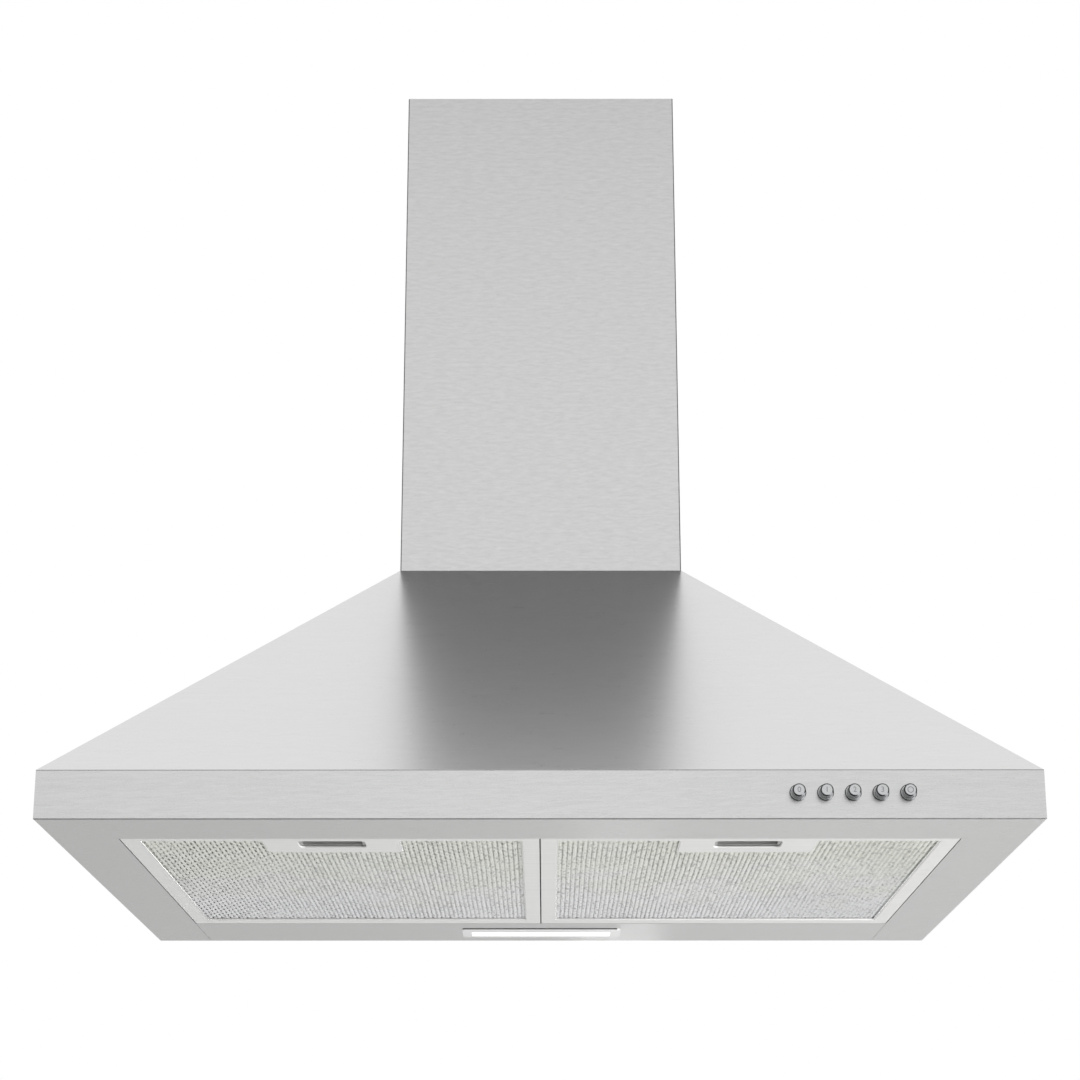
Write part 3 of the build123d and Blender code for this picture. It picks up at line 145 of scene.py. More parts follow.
studio = {
    "floorHeight": -1.85,  # the hood hangs about 1.65 m above the floor
    "floorReach": 40.0,
    "floorColour": "#E6E6E5",
    "matCorners": (-2.2, -3.4, 2.2, -0.8),  # a dark mat on the floor in front of the hood
    "matColour": "#2C2C2C",
    "matLift": 0.005,
    "paintRoughness": 0.9,
    "screens": (  # darker parts: direction, all of it within and none beyond (degrees), how dark
        ((0.0, -0.45, 0.89), 15.0, 38.0, 0.80),
        ((0.0, -1.0, 0.10), 25.0, 70.0, 0.05),
        ((-0.92, -0.35, 0.15), 22.0, 58.0, 0.62),
        ((0.92, -0.35, 0.15), 22.0, 58.0, 0.62),
    ),
    "lamps": (
        {"name": "lowLamp", "place": (1.6, -0.9, -1.5), "aim": (0.0, -0.25, -0.2),
         "size": 1.6, "power": 56.0},
        {"name": "floorLamp", "place": (1.0, 4.8, -0.7), "aim": (1.0, 4.8, -2.0),
         "size": 1.8, "power": 15.0},
        {"name": "edgeLamp", "place": (0.09, 1.0, -0.22), "aim": (-0.17, -0.27, -0.2),
         "size": 0.1, "power": 0.16},
    ),
}


def stageSheet(name, corners, height, colour):
    # a level matt sheet that belongs to the studio
    left, front, right, rear = corners
    outline = [(left, front), (right, front), (right, rear), (left, rear)]
    sheetMesh = bpy.data.meshes.new(name)
    sheetMesh.from_pydata([(x, y, height) for x, y in outline], [], [(0, 1, 2, 3)])
    paint = newMaterial(name + "Paint", colour, studio["paintRoughness"], Specular_IOR_Level=0.0)[0]
    sheetMesh.materials.append(paint)
    sheet = bpy.data.objects.new(name, sheetMesh)
    bpy.context.scene.collection.objects.link(sheet)
    return sheet


def buildStudio():
    # a white world less its screens: each takes its depth off the brightness, fading with a smooth
    # step of the angle from its direction
    world = bpy.data.worlds.new("studio")
    world.use_nodes = True
    bpy.context.scene.world = world
    tree = world.node_tree
    ray = addNode(tree, "ShaderNodeTexCoord").outputs["Generated"]
    level = {}
    for direction, inner, outer, depth in studio["screens"]:
        towards = [part / math.hypot(*direction) for part in direction]
        facing = addNode(tree, "ShaderNodeVectorMath",
                         {"operation": "DOT_PRODUCT", "1": towards}, _0=ray).outputs["Value"]
        shade = addNode(tree, "ShaderNodeMapRange",
                        {"interpolation_type": "SMOOTHSTEP", "To Max": depth,
                         "From Min": math.cos(math.radians(outer)),
                         "From Max": math.cos(math.radians(inner))}, Value=facing)
        rest = addNode(tree, "ShaderNodeMath", {"operation": "SUBTRACT", "0": 1.0},
                       _1=shade.outputs[0], **level)
        level = {"_0": rest.outputs[0]}
    tree.links.new(level["_0"], tree.nodes["Background"].inputs["Color"])

    reach, height = studio["floorReach"], studio["floorHeight"]
    stageSheet("floor", (-reach, -reach, reach, reach), height, studio["floorColour"])
    mat = stageSheet("mat", studio["matCorners"], height + studio["matLift"], studio["matColour"])
    # it only darkens what the steel mirrors
    mat.visible_camera = mat.visible_diffuse = mat.visible_shadow = False

    for look in studio["lamps"]:
        lamp = bpy.data.objects.new(look["name"], bpy.data.lights.new(look["name"], "AREA"))
        lamp.data.energy = look["power"]
        lamp.data.size = look["size"]
        lamp.location = look["place"]
        away = lamp.location - type(lamp.location)(look["aim"])
        lamp.rotation_euler = away.to_track_quat("Z", "Y").to_euler()
        bpy.context.scene.collection.objects.link(lamp)


buildStudio()
print("camera and studio ready")


# brushed stainless steel, AISI 430 sheet: the belt leaves long fine scratches across the hood,
# so light smears along one way and the face shows thin silver streaks

stainless = {
    # the last figure of each is how much of the colour is left on the corner bends: painted shade,
    # used only on the chimney
    "chimney": {"name": "stainlessBrushedChimney", "colour": "#DDDDDD", "roughness": 0.3,
                "streakLength": 9.0, "streakHeight": 2.2, "streakTone": 0.392, "wave": 0.35,
                "bendPaintedShade": 0.42},
    "canopy": {"name": "stainlessBrushedCanopy", "colour": "#DDDDDD", "roughness": 0.28,
               "streakLength": 26.0, "streakHeight": 1.6, "streakTone": 0.36, "wave": 1.6,
               "bendPaintedShade": 1.0},
    "bar": {"name": "stainlessBrushedBar", "colour": "#DDDDDD", "roughness": 0.29,
            "streakLength": 26.0, "streakHeight": 1.6, "streakTone": 0.2, "wave": 1.2,
            "bendPaintedShade": 1.0},
    "slopeShare": 0.3,  # how much of the streaks shows on the slopes
    "upright": 0.05, "slope": 0.4, "level": (0.9, 0.98),  # how far the normal rises on each
    "bend": (0.55, 0.4),  # how far the normal turns aside on a corner bend: middle and reach
    "streakRoughness": 0.12, "relief": 0.25, "scratchDepth": 0.02,
}


def brushedStainless(look):
    # streaks: noise stretched along X and Y on upright faces, and along X alone on level ones
    # real scratches are 0.05 mm wide; they are drawn 1.6 to 2.2 mm wide, the narrowest that shows
    material, tree, shader = newMaterial(look["name"], look["colour"], look["roughness"], 1.0)
    long, high = look["streakLength"], look["streakHeight"]
    scratches = {"Scale": 1.0, "Detail": 3.0, "Roughness": 0.6, "Distortion": look["wave"]}
    onUpright = addNode(tree, "ShaderNodeTexNoise", scratches,
                        Vector=inMillimetres(tree, long, long, high)).outputs["Fac"]
    onLevel = addNode(tree, "ShaderNodeTexNoise", scratches,
                      Vector=inMillimetres(tree, long, high, long)).outputs["Fac"]
    normal = addNode(tree, "ShaderNodeNewGeometry").outputs["Normal"]
    facing = addNode(tree, "ShaderNodeSeparateXYZ", _0=normal)
    aside, rise = [addNode(tree, "ShaderNodeMath", {"operation": "ABSOLUTE"},
                           _0=facing.outputs[axis]).outputs[0] for axis in ("X", "Z")]
    nearLevel, fullyLevel = stainless["level"]
    flat = addNode(tree, "ShaderNodeMapRange", {"From Min": nearLevel, "From Max": fullyLevel},
                   Value=rise).outputs["Result"]
    streak = addNode(tree, "ShaderNodeMix", {"data_type": "FLOAT"},
                     _0=flat, _2=onUpright, _3=onLevel).outputs[0]
    share = addNode(tree, "ShaderNodeMapRange",
                    {"From Min": stainless["upright"], "From Max": stainless["slope"],
                     "To Min": 1.0, "To Max": stainless["slopeShare"]},
                    Value=rise).outputs["Result"]
    centred = addNode(tree, "ShaderNodeMath", {"operation": "SUBTRACT", "1": 0.5},
                      _0=streak).outputs[0]
    shown = addNode(tree, "ShaderNodeMath", {"operation": "MULTIPLY"},
                    _0=centred, _1=share).outputs[0]
    # tone: 1 + streakTone * streak, on the sheet's colour
    gain = addNode(tree, "ShaderNodeMath",
                   {"operation": "MULTIPLY_ADD", "1": look["streakTone"], "2": 1.0},
                   _0=shown).outputs[0]
    # painted shade: the colour is darker on the corner bends, where the face turns between the
    # front and the side, standing in for the dark reflection there
    middle, reach = stainless["bend"]
    bend = addNode(tree, "ShaderNodeMath", {"operation": "COMPARE", "1": middle, "2": reach},
                   _0=aside).outputs[0]
    shadedOnBends = addNode(tree, "ShaderNodeMath",
                     {"operation": "MULTIPLY_ADD", "1": look["bendPaintedShade"] - 1},
                     _0=bend, _2=gain).outputs[0]
    colour = addNode(tree, "ShaderNodeVectorMath",
                     {"operation": "SCALE", "0": linear(look["colour"])[:3]},
                     Scale=shadedOnBends).outputs[0]
    tree.links.new(colour, shader.inputs["Base Color"])
    rough = addNode(tree, "ShaderNodeMath",
                    {"operation": "MULTIPLY_ADD", "1": stainless["streakRoughness"],
                     "2": look["roughness"]}, _0=shown).outputs[0]
    tree.links.new(rough, shader.inputs["Roughness"])
    bump = addNode(tree, "ShaderNodeBump",
                   {"Strength": stainless["relief"], "Distance": stainless["scratchDepth"] * mm},
                   Height=shown)
    tree.links.new(bump.outputs[0], shader.inputs["Normal"])
    return material


give(brushedStainless(stainless["canopy"]), "canopy_shell")
give(brushedStainless(stainless["bar"]), "rear_bar")
give(brushedStainless(stainless["chimney"]), "lower_chimney", "upper_chimney")


# galvanised steel, hot dipped: zinc freezes into pale flat crystals, a patchwork of greys

zinc = {"name": "galvanisedSteelDipped", "dark": "#A3A6A8", "light": "#C2C4C5", "spangle": 9.0,
        "roughness": 0.45, "roughnessSwing": 0.08}


def galvanisedSheet():
    material, tree, shader = newMaterial(zinc["name"], zinc["light"], zinc["roughness"], 1.0)
    crystal = addNode(tree, "ShaderNodeTexVoronoi", {"Scale": 1.0},
                      Vector=inMillimetres(tree, zinc["spangle"]))
    grey = addNode(tree, "ShaderNodeRGBToBW", _0=crystal.outputs["Color"]).outputs[0]
    tone = addNode(tree, "ShaderNodeMix",
                   {"data_type": "RGBA", "6": linear(zinc["dark"]), "7": linear(zinc["light"])},
                   _0=grey)
    tree.links.new(tone.outputs[2], shader.inputs["Base Color"])
    swing = zinc["roughnessSwing"]
    rough = addNode(tree, "ShaderNodeMapRange",
                    {"To Min": zinc["roughness"] - swing, "To Max": zinc["roughness"] + swing},
                    Value=grey)
    tree.links.new(rough.outputs["Result"], shader.inputs["Roughness"])
    return material


give(galvanisedSheet(), "rear_panel", "deck_plate", "wall_bracket", "motor_bracket",
     "switch_bracket", "control_box", "control_box_lid")


# moulded plastics: a fine spark-eroded grain from the mould breaks the sheen

plastics = {
    "black": ("absMouldedBlack", "#1B1B1C", "#232325", 0.48),
    "grey": ("polypropyleneMouldedGrey", "#838486", "#8D8E90", 0.52),
    "white": ("polyamideMouldedWhite", "#D9D9D6", "#E2E2DF", 0.45),
    "bezel": ("absMouldedBezel", "#D9D9D9", "#DEDEDE", 0.35),
    "rubber": ("nitrileRubberMoulded", "#151515", "#1C1C1C", 0.75),
    "board": ("solderMaskGreen", "#1D5A33", "#24663B", 0.35),
    "sheath": ("pvcSheathExtruded", "#C9C9C6", "#D2D2CF", 0.5),
    "grain": 0.9,  # real grain is 0.1 to 0.2 mm; drawn this wide in mm so that it shows
    "cloud": 27.0, "roughnessSwing": 0.05, "ior": 1.5, "relief": 0.2, "grainDepth": 0.05,
}


def mouldedPlastic(name, colour, light, roughness):
    material, tree, shader = newMaterial(name, colour, roughness, 0.0, IOR=plastics["ior"])
    grain = addNode(tree, "ShaderNodeTexNoise", {"Scale": 1.0, "Detail": 2.0},
                    Vector=inMillimetres(tree, plastics["grain"])).outputs["Fac"]
    cloud = addNode(tree, "ShaderNodeTexNoise", {"Scale": 1.0, "Detail": 1.0},
                    Vector=inMillimetres(tree, plastics["cloud"])).outputs["Fac"]
    tone = addNode(tree, "ShaderNodeMix",
                   {"data_type": "RGBA", "6": linear(colour), "7": linear(light)}, _0=cloud)
    tree.links.new(tone.outputs[2], shader.inputs["Base Color"])
    swing = plastics["roughnessSwing"]
    rough = addNode(tree, "ShaderNodeMapRange",
                    {**noiseSpan, "To Min": roughness - swing, "To Max": roughness + swing},
                    Value=grain)
    tree.links.new(rough.outputs["Result"], shader.inputs["Roughness"])
    bump = addNode(tree, "ShaderNodeBump",
                   {"Strength": plastics["relief"], "Distance": plastics["grainDepth"] * mm},
                   Height=grain)
    tree.links.new(bump.outputs[0], shader.inputs["Normal"])
    return material


give(mouldedPlastic(*plastics["black"]), "casing_left", "casing_right", "flap_front", "flap_rear",
     "switch_block", "cable_gland")
give(mouldedPlastic(*plastics["grey"]), "impeller", "outlet_collar")
give(mouldedPlastic(*plastics["white"]), "terminal_block", "motor_capacitor", "lamp_housing",
     "lead_clips")
give(mouldedPlastic(*plastics["bezel"]), "lamp_bezel")
rubber = mouldedPlastic(*plastics["rubber"])
give(rubber, "motor_bushes")
give(mouldedPlastic(*plastics["board"]), "led_board")
give(mouldedPlastic(*plastics["sheath"]), "switch_lead", "lamp_lead", "motor_lead")


# small metal parts

metals = {
    "steel": ("steelTurnedZincPlated", "#B9BBBD", "#C8CACC", 0.3, 3.0),
    "painted": ("motorSteelBlackened", "#55575A", "#606265", 0.42, 12.0),
    "copper": ("copperWindingVarnished", "#8A4A2C", "#A65D38", 0.35, 1.5),
    "latch": ("zincDieCastLatch", "#BCBCBB", "#C6C6C5", 0.45, 5.0),
    "roughnessSwing": 0.04,
}


def smallMetal(name, colour, light, roughness, cloudSize):
    # clouds: the plating, the varnish or the casting skin varies a little over each part
    material, tree, shader = newMaterial(name, colour, roughness, 1.0)
    cloud = addNode(tree, "ShaderNodeTexNoise", {"Scale": 1.0, "Detail": 3.0},
                    Vector=inMillimetres(tree, cloudSize)).outputs["Fac"]
    tone = addNode(tree, "ShaderNodeMix",
                   {"data_type": "RGBA", "6": linear(colour), "7": linear(light)}, _0=cloud)
    tree.links.new(tone.outputs[2], shader.inputs["Base Color"])
    swing = metals["roughnessSwing"]
    rough = addNode(tree, "ShaderNodeMapRange",
                    {**noiseSpan, "To Min": roughness - swing, "To Max": roughness + swing},
                    Value=cloud)
    tree.links.new(rough.outputs["Result"], shader.inputs["Roughness"])
    return material


brightSteel = smallMetal(*metals["steel"])
give(brightSteel, "hub_nut", "motor_shaft", "motor_rotor", "bearing_front", "bearing_rear",
     "flap_pin", "m4_screws")
give(smallMetal(*metals["painted"]), "motor_housing", "motor_end_cap")
give(smallMetal(*metals["copper"]), "motor_stator")
give(smallMetal(*metals["latch"]), "filter_latch_left", "filter_latch_right")


# buttons: turned brass in satin chrome, with painted shade: the colour is dark on the bevels, mid
# grey on the sides and light on the faces, standing in for the reflections there; the lathe's fine
# marks break the sheen

buttonChrome = {
    "name": "chromePlatedBrassTurned", "face": "#D4D5D6", "side": "#A0A1A3", "bevelShade": "#505153",
    "faceTurn": (-0.9, -0.98), "sideTurn": (-0.35, -0.15),  # the normal's Y where these take over
    "roughness": 0.3, "roughnessSwing": 0.06,
    "grain": (0.6, 2.4, 0.6),  # the lathe's marks are 0.1 mm wide; drawn coarser in mm to show
}


def satinChrome(look):
    # painted shade by how far the surface turns from the front: light faces, dark bevels, mid grey
    # sides
    material, tree, shader = newMaterial(look["name"], look["face"], look["roughness"], 1.0)
    normal = addNode(tree, "ShaderNodeNewGeometry").outputs["Normal"]
    ahead = addNode(tree, "ShaderNodeSeparateXYZ", _0=normal).outputs["Y"]
    onFace, onSide = [addNode(tree, "ShaderNodeMapRange", {"From Min": start, "From Max": full},
                              Value=ahead).outputs["Result"]
                      for start, full in (look["faceTurn"], look["sideTurn"])]
    turned = addNode(tree, "ShaderNodeMix",
                     {"data_type": "RGBA", "6": linear(look["bevelShade"]), "7": linear(look["side"])},
                     _0=onSide).outputs[2]
    colour = addNode(tree, "ShaderNodeMix", {"data_type": "RGBA", "7": linear(look["face"])},
                     _0=onFace, _6=turned).outputs[2]
    tree.links.new(colour, shader.inputs["Base Color"])
    marks = addNode(tree, "ShaderNodeTexNoise", {"Scale": 1.0, "Detail": 2.0},
                    Vector=inMillimetres(tree, *look["grain"])).outputs["Fac"]
    swing = look["roughnessSwing"]
    rough = addNode(tree, "ShaderNodeMapRange",
                    {**noiseSpan, "To Min": look["roughness"] - swing,
                     "To Max": look["roughness"] + swing}, Value=marks)
    tree.links.new(rough.outputs["Result"], shader.inputs["Roughness"])
    return material


give(satinChrome(buttonChrome), "button_collars", "button_off", "button_low", "button_medium",
     "button_high", "button_lamp")


# filter frames: mill-finish aluminium strip; the rollers leave it matt with faint lines along the
# strip, and burnish the side edges so that they catch the light

frameStrip = {
    "name": "aluminiumRolledStrip", "colour": "#F0F0EF", "light": "#F8F8F7",
    "roughness": 0.66, "edgeRoughness": 0.2,
    "edgeTurn": (0.1, 0.4),  # how far the normal turns aside where the burnish starts and is full
    "lineLength": 60.0, "lineWidth": 1.2, "relief": 0.15, "lineDepth": 0.02,
    "slotMiddle": 129.75, "slotReach": 25.0,  # the finger slots' own edges stay matt
}


def rolledAluminium(look):
    # real lines are 0.1 mm wide; they are drawn 1.2 mm wide to show
    material, tree, shader = newMaterial(look["name"], look["colour"], look["roughness"], 1.0)
    length, width = look["lineLength"], look["lineWidth"]
    lines = addNode(tree, "ShaderNodeTexNoise", {"Scale": 1.0, "Detail": 3.0},
                    Vector=inMillimetres(tree, length, width, width)).outputs["Fac"]
    shown = addNode(tree, "ShaderNodeMapRange", noiseSpan, Value=lines).outputs["Result"]
    colour = addNode(tree, "ShaderNodeMix",
                     {"data_type": "RGBA", "6": linear(look["colour"]), "7": linear(look["light"])},
                     _0=shown).outputs[2]
    tree.links.new(colour, shader.inputs["Base Color"])
    normal = addNode(tree, "ShaderNodeNewGeometry").outputs["Normal"]
    turn = addNode(tree, "ShaderNodeSeparateXYZ", _0=normal).outputs["X"]
    across = addNode(tree, "ShaderNodeSeparateXYZ", _0=inMillimetres(tree, 1.0)).outputs["X"]
    aside, fromMiddle = [addNode(tree, "ShaderNodeMath", {"operation": "ABSOLUTE"},
                                 _0=value).outputs[0] for value in (turn, across)]
    nearSlot = addNode(tree, "ShaderNodeMath",
                       {"operation": "COMPARE", "1": look["slotMiddle"], "2": look["slotReach"]},
                       _0=fromMiddle).outputs[0]
    side = addNode(tree, "ShaderNodeMath", {"operation": "SUBTRACT"},
                   _0=aside, _1=nearSlot).outputs[0]
    start, full = look["edgeTurn"]
    rough = addNode(tree, "ShaderNodeMapRange",
                    {"From Min": start, "From Max": full, "To Min": look["roughness"],
                     "To Max": look["edgeRoughness"]}, Value=side).outputs["Result"]
    tree.links.new(rough, shader.inputs["Roughness"])
    bump = addNode(tree, "ShaderNodeBump",
                   {"Strength": look["relief"], "Distance": look["lineDepth"] * mm}, Height=lines)
    tree.links.new(bump.outputs[0], shader.inputs["Normal"])
    return material


give(rolledAluminium(frameStrip), "filter_frame_left", "filter_frame_right", "filter_pad_left",
     "filter_pad_right")


# lamp lens: opal acrylic, lit from behind, so the whole face glows evenly

lens = {"name": "opalAcrylicLens", "colour": "#F4F4F2", "roughness": 0.3, "ior": 1.49,
        "glow": "#FFFFFF", "strength": 1.0}
acrylic = newMaterial(lens["name"], lens["colour"], lens["roughness"], IOR=lens["ior"],
                      Emission_Color=linear(lens["glow"]), Emission_Strength=lens["strength"])[0]
give(acrylic, "lamp_lens")
print("finishes given to the nodes that stay")


# grease filter: two nets of slit and stretched aluminium foil over a dimpled sheet; the inner net
# lies unevenly, so the columns drift in and out of step

net = {
    "layers": (  # cell length, height above the CAD net's underside, and sideways drift (mm)
        {"name": "filter_net_", "length": 12.6, "rise": 0.1, "drift": 0.15},
        {"name": "filter_foil_", "length": 12.2, "rise": 0.6, "drift": 0.9},
    ),
    "width": 6.3, "strand": 2.7, "thick": 0.2, "lift": 0.12,
    "stations": 6,  # points along each cell
    "flatness": 1.6,  # over 1 clips the wave, so that strands run side by side where cells join
    "unevenness": 0.12, "seed": 6,
    "driftAcross": 150.0, "driftAlong": 210.0,
    "padHalf": 41.6, "padRear": -388.3,  # the pad's half width, and where it ends along Y
    "sheetSink": 0.85, "sheetDimple": 0.3, "sheetPitch": 6.0, "sheetSteps": 4, "sheetThick": 1.5,
}


def strandColumns(layer, columns, front, rear, height):
    # column k at station y: x = x_k + (-1)^k * swing * wave + drift and
    # z = height + (-1)^k * lift * wave, with wave = clip(flatness * cos(2 pi y / length), -1, 1)
    # and drift a slow sine across times a slow cosine along, plus a little unevenness; the section
    # is a triangle, point down
    ys = np.arange(front, rear, layer["length"] * mm / net["stations"])
    crest = net["flatness"] * np.cos(2 * np.pi * ys / (layer["length"] * mm))
    wave = np.clip(crest, -1, 1)[None, :, None]
    across = np.sin(2 * np.pi * columns / (net["driftAcross"] * mm))[:, None, None]
    along = np.cos(2 * np.pi * ys / (net["driftAlong"] * mm))[None, :, None]
    drift = layer["drift"] * mm * (across * along)
    chance = np.random.default_rng(net["seed"])
    uneven = chance.normal(0, net["unevenness"] * mm, (len(columns), len(ys), 1))
    number = np.round(columns / (net["width"] * mm / 2)).astype(int)
    sign = np.where(number % 2, -1.0, 1.0)[:, None, None]
    swing = (net["width"] / 2 - net["strand"]) / 2 * mm
    half, tall = net["strand"] * mm / 2, net["thick"] * mm
    x = columns[:, None, None] + sign * swing * wave + drift + uneven + np.array([-half, half, 0.0])
    z = height + sign * net["lift"] * mm * wave + np.array([tall / 2, tall / 2, -tall / 2])
    y = ys[None, :, None] + 0 * x
    verts = np.stack([x, y, z], axis=-1).reshape(-1, 3)
    k, s, c = np.indices((len(columns), len(ys) - 1, 3))
    index = (k * len(ys) + s) * 3
    after = (c + 1) % 3
    quads = np.stack([index + c, index + after, index + 3 + after, index + 3 + c], axis=-1)
    start = np.arange(len(columns)) * len(ys) * 3
    end = start + (len(ys) - 1) * 3
    caps = np.concatenate([np.stack([start + 2, start + 1, start], axis=1),
                           np.stack([end, end + 1, end + 2], axis=1)])
    return verts, quads.reshape(-1, 4), caps


def filterNet(layer, low, high):
    # columns of strands from front to rear; those in front of the latch's pad start behind it
    step = net["width"] * mm / 2
    columns = np.arange(math.ceil(low[0] / step) + 1, math.floor(high[0] / step)) * step
    inPad = np.abs(columns - (low[0] + high[0]) / 2) < net["padHalf"] * mm
    height = low[2] + layer["rise"] * mm
    verts, faces, count = [], [], 0
    for chosen, front in ((columns[~inPad], low[1]), (columns[inPad], net["padRear"] * mm)):
        points, quads, caps = strandColumns(layer, chosen, front, high[1], height)
        verts.append(points)
        faces += (quads + count).tolist() + (caps + count).tolist()
        count += len(points)
    return np.concatenate(verts), faces


def filterSheet(low, high):
    # dimpled sheet: z = base + dimple / 2 * sin(2 pi x / pitch) * sin(2 pi y / pitch), and its back
    # the same; it leaves out the cells that the latch's pad covers
    pitch, half = net["sheetPitch"] * mm, net["sheetDimple"] * mm / 2
    xs = np.arange(low[0], high[0], pitch / net["sheetSteps"])
    ys = np.arange(low[1], high[1], pitch / net["sheetSteps"])
    x, y = np.meshgrid(xs, ys, indexing="ij")
    base = low[2] - net["sheetSink"] * mm + half
    wave = np.sin(2 * np.pi * x / pitch) * np.sin(2 * np.pi * y / pitch)
    lower = np.stack([x, y, base + half * wave], axis=-1)
    upper = lower + [0, 0, net["sheetThick"] * mm]
    verts = np.concatenate([lower.reshape(-1, 3), upper.reshape(-1, 3)])
    inPad = (np.abs(x - (low[0] + high[0]) / 2) < net["padHalf"] * mm) & (y < net["padRear"] * mm)
    solid = ~(inPad[:-1, :-1] | inPad[1:, :-1] | inPad[:-1, 1:] | inPad[1:, 1:])
    i, j = np.meshgrid(np.arange(len(xs) - 1), np.arange(len(ys) - 1), indexing="ij")
    corner = (i * len(ys) + j)[solid]
    under = np.stack([corner, corner + 1, corner + len(ys) + 1, corner + len(ys)], axis=-1)
    over = under[:, ::-1] + x.size
    # walls: every edge that only one cell has
    edges = np.concatenate([under[:, [a, (a + 1) % 4]] for a in range(4)])
    ahead = edges[:, 0] * x.size + edges[:, 1]
    back = edges[:, 1] * x.size + edges[:, 0]
    rim = edges[~np.isin(ahead, back)]
    wall = np.stack([rim[:, 1], rim[:, 0], rim[:, 0] + x.size, rim[:, 1] + x.size], axis=-1)
    used, faces = np.unique(np.concatenate([under, over, wall]), return_inverse=True)
    return verts[used], faces.reshape(-1, 4).tolist()


foilLook = {
    "name": "aluminiumExpandedFoil", "roughness": 0.55,
    "cool": "#FCFCFE", "warm": "#F7F8F1",  # cool at the rear, and a little yellow at the front
    "fade": (-0.32, -0.58),  # where the warm tone starts and is full: Y in metres less the cloud
    "fadeCloud": (50.0, 70.0, 50.0), "fadeWander": -0.36,  # its size in mm, and how far it moves Y
    "glint": (1.7, 6.0, 1.7),  # mm across, along and up
    "glintSpan": (0.22, 0.5),  # the noise's values at the darkest and the brightest
    "glintShade": 0.55,  # how bright the darkest is
}


def expandedAluminium(look):
    # slit and stretched foil: bright cut edges that glint unevenly; real glints are under 1 mm and
    # are drawn 1.7 mm wide to show
    material, tree, shader = newMaterial(look["name"], look["cool"], look["roughness"], 1.0)
    cloud = addNode(tree, "ShaderNodeTexNoise", {"Scale": 1.0, "Detail": 2.0},
                    Vector=inMillimetres(tree, *look["fadeCloud"])).outputs["Fac"]
    metres = inMillimetres(tree, 1000.0)
    depth = addNode(tree, "ShaderNodeSeparateXYZ", _0=metres).outputs["Y"]
    forward = addNode(tree, "ShaderNodeMath",
                      {"operation": "MULTIPLY_ADD", "1": look["fadeWander"]},
                      _0=cloud, _2=depth).outputs[0]
    start, full = look["fade"]
    warm = addNode(tree, "ShaderNodeMapRange", {"From Min": start, "From Max": full},
                   Value=forward).outputs["Result"]
    glint = addNode(tree, "ShaderNodeTexNoise", {"Scale": 1.0, "Detail": 1.0},
                    Vector=inMillimetres(tree, *look["glint"])).outputs["Fac"]
    darkest, brightest = look["glintSpan"]
    tone = addNode(tree, "ShaderNodeMapRange",
                   {"From Min": darkest, "From Max": brightest, "To Min": look["glintShade"]},
                   Value=glint).outputs["Result"]
    tinted = addNode(tree, "ShaderNodeMix",
                     {"data_type": "RGBA", "6": linear(look["cool"]), "7": linear(look["warm"])},
                     _0=warm).outputs[2]
    colour = addNode(tree, "ShaderNodeVectorMath", {"operation": "SCALE"},
                     _0=tinted, Scale=tone).outputs[0]
    tree.links.new(colour, shader.inputs["Base Color"])
    return material


foil = expandedAluminium(foilLook)
for side in ("left", "right"):
    for layer in net["layers"]:
        verts, faces = filterNet(layer, *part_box("filter_mesh_" + side))
        piece = meshPiece(layer["name"] + side, verts, faces, foil, "filter_" + side)
        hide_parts("filter_mesh_" + side)
    verts, faces = filterSheet(*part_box("filter_pack_" + side))
    piece = meshPiece("filter_sheet_" + side, verts, faces, foil, "filter_" + side,
                      smooth=True)
    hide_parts("filter_pack_" + side)
print("filter nets laid")


# painted shadow: a thin black rubber strip along the front of the lamp's bezel shows as a black
# line there, standing in for the shadow gap

shadowLine = {"ahead": 0.3, "above": 0.45, "tall": 0.55, "shortLeft": 1.0, "shortRight": 2.5}  # mm


def shadowLineStrip(low, high):
    # the corners of a thin bar, with x slowest and z fastest
    xs = (low[0] + shadowLine["shortLeft"] * mm, high[0] - shadowLine["shortRight"] * mm)
    ys = (low[1] - shadowLine["ahead"] * mm, low[1])
    zs = (low[2] + shadowLine["above"] * mm, low[2] + (shadowLine["above"] + shadowLine["tall"]) * mm)
    verts = np.array([[x, y, z] for x in xs for y in ys for z in zs])
    faces = [(0, 1, 3, 2), (4, 6, 7, 5), (0, 4, 5, 1), (2, 3, 7, 6), (0, 2, 6, 4), (1, 5, 7, 3)]
    meshPiece("lamp_shadow_line", verts, faces, rubber, "hood")


shadowLineStrip(*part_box("lamp_bezel"))
print("lamp gasket set")


# latch springs: drawn steel wire coiled cold

spring = {
    "wire": 0.3, "travel": 4.5,  # the wire's radius and the latch's travel, in mm
    "turns": 6, "steps": 24, "sides": 8,
}


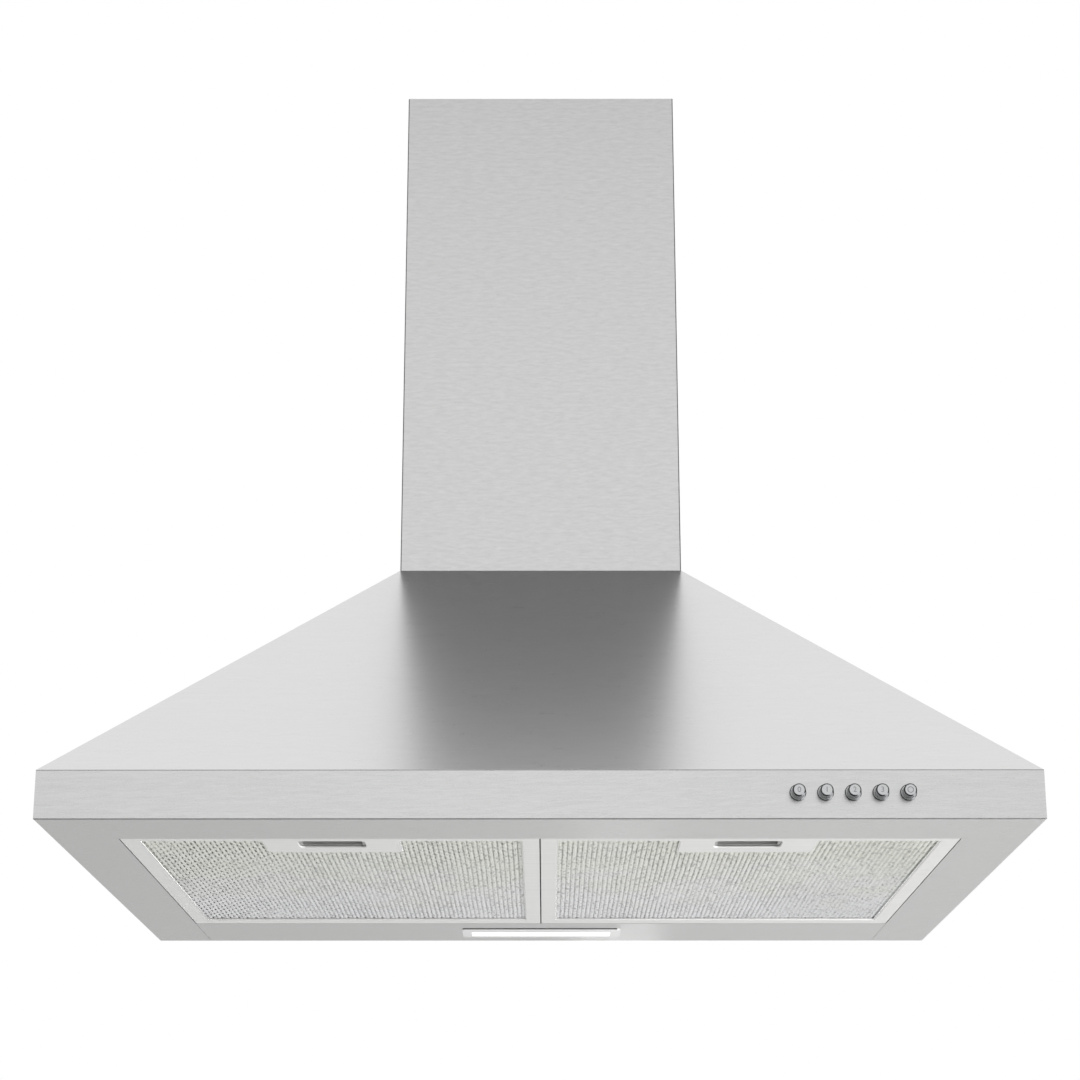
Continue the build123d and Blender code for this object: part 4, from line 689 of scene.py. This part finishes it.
def coilSpring(side):
    # wire centre at turn t: x + R cos t, rising y, z + R sin t; round it a circle of the wire's
    # radius spanned by the outward direction and Y
    low, high = [np.array(corner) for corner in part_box("latch_spring_" + side)]
    wire, sides = spring["wire"] * mm, spring["sides"]
    middle, radius = (low + high) / 2, (high[0] - low[0]) / 2 - wire
    turn = np.linspace(0, 2 * np.pi * spring["turns"], spring["turns"] * spring["steps"] + 1)
    around = np.linspace(0, 2 * np.pi, sides, endpoint=False)
    rise = np.linspace(low[1] + wire, high[1] - wire, len(turn))[:, None] + wire * np.sin(around)
    reach = radius + wire * np.cos(around)
    verts = np.stack([middle[0] + reach * np.cos(turn)[:, None], rise,
                      middle[2] + reach * np.sin(turn)[:, None]], axis=-1).reshape(-1, 3)
    t, a = np.meshgrid(np.arange(len(turn) - 1) * sides, np.arange(sides), indexing="ij")
    after = (a + 1) % sides
    walls = np.stack([t + a, t + after, t + sides + after, t + sides + a], axis=-1).reshape(-1, 4)
    ends = [list(range(sides))[::-1], list(range(len(verts) - sides, len(verts)))]
    piece = meshPiece("latch_coil_" + side, verts, walls.tolist() + ends, brightSteel,
                      "filter_" + side, smooth=True)
    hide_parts("latch_spring_" + side)
    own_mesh(piece)


for side in ("left", "right"):
    coilSpring(side)
print("latch springs coiled")


# button numbers: plain figures 0 to 3 and a ring for the lamp, laser-etched; the oxide leaves the
# chrome matt and grey

numbers = {
    "name": "chromeLaserEtched", "colour": "#8E9092", "roughness": 0.5,
    "height": 4.6, "thickness": 0.04, "merge": 0.001, "ringOuter": 1.9, "ringInner": 1.45,  # mm
    "curveSteps": 4, "ringSides": 40,
}
captions = {"button_off": "0", "button_low": "1", "button_medium": "2", "button_high": "3"}


def figure(button, text, material):
    low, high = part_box(button)
    curve = bpy.data.curves.new(button + "_figure", "FONT")
    curve.body = text
    curve.size = numbers["height"] * mm
    curve.align_x = curve.align_y = "CENTER"
    curve.extrude = numbers["thickness"] * mm / 2
    curve.resolution_u = numbers["curveSteps"]
    holder = bpy.data.objects.new("temporary", curve)
    shape = bpy.data.meshes.new_from_object(holder)
    bpy.data.objects.remove(holder)
    co = np.zeros(len(shape.vertices) * 3)
    shape.vertices.foreach_get("co", co)
    across, up, depth = co.reshape(-1, 3).T
    # the text's own x stays X, its y becomes Z, and its depth turns to the room
    placed = np.stack([across + (low[0] + high[0]) / 2, low[1] - depth,
                       up + (low[2] + high[2]) / 2], axis=-1)
    shape.vertices.foreach_set("co", placed.ravel())
    merged = bmesh.new()
    merged.from_mesh(shape)
    bmesh.ops.remove_doubles(merged, verts=merged.verts, dist=numbers["merge"] * mm)
    merged.to_mesh(shape)
    merged.free()
    shape.name = button + "_figure"
    addPiece(button + "_figure", shape, material, button)


def lampRing(button, material):
    # a flat ring: two radii and two depths carried round the circle
    low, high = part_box(button)
    turn = np.linspace(0, 2 * np.pi, numbers["ringSides"], endpoint=False)
    depth = numbers["thickness"] * mm / 2
    outer, inner = numbers["ringOuter"] * mm, numbers["ringInner"] * mm
    section = np.array([[outer, -depth], [outer, depth], [inner, depth], [inner, -depth]])
    x = (low[0] + high[0]) / 2 + section[None, :, 0] * np.cos(turn)[:, None]
    z = (low[2] + high[2]) / 2 + section[None, :, 0] * np.sin(turn)[:, None]
    y = low[1] + section[None, :, 1] + 0 * x
    verts = np.stack([x, y, z], axis=-1).reshape(-1, 3)
    s, c = np.meshgrid(np.arange(len(turn)), np.arange(4), indexing="ij")
    ahead = (s + 1) % len(turn)
    after = (c + 1) % 4
    faces = np.stack([s * 4 + after, ahead * 4 + after, ahead * 4 + c, s * 4 + c], axis=-1)
    meshPiece(button + "_ring", verts, faces.reshape(-1, 4).tolist(), material, button)


etched = newMaterial(numbers["name"], numbers["colour"], numbers["roughness"])[0]
for button, text in captions.items():
    figure(button, text, etched)
lampRing("button_lamp", etched)
print("buttons numbered")
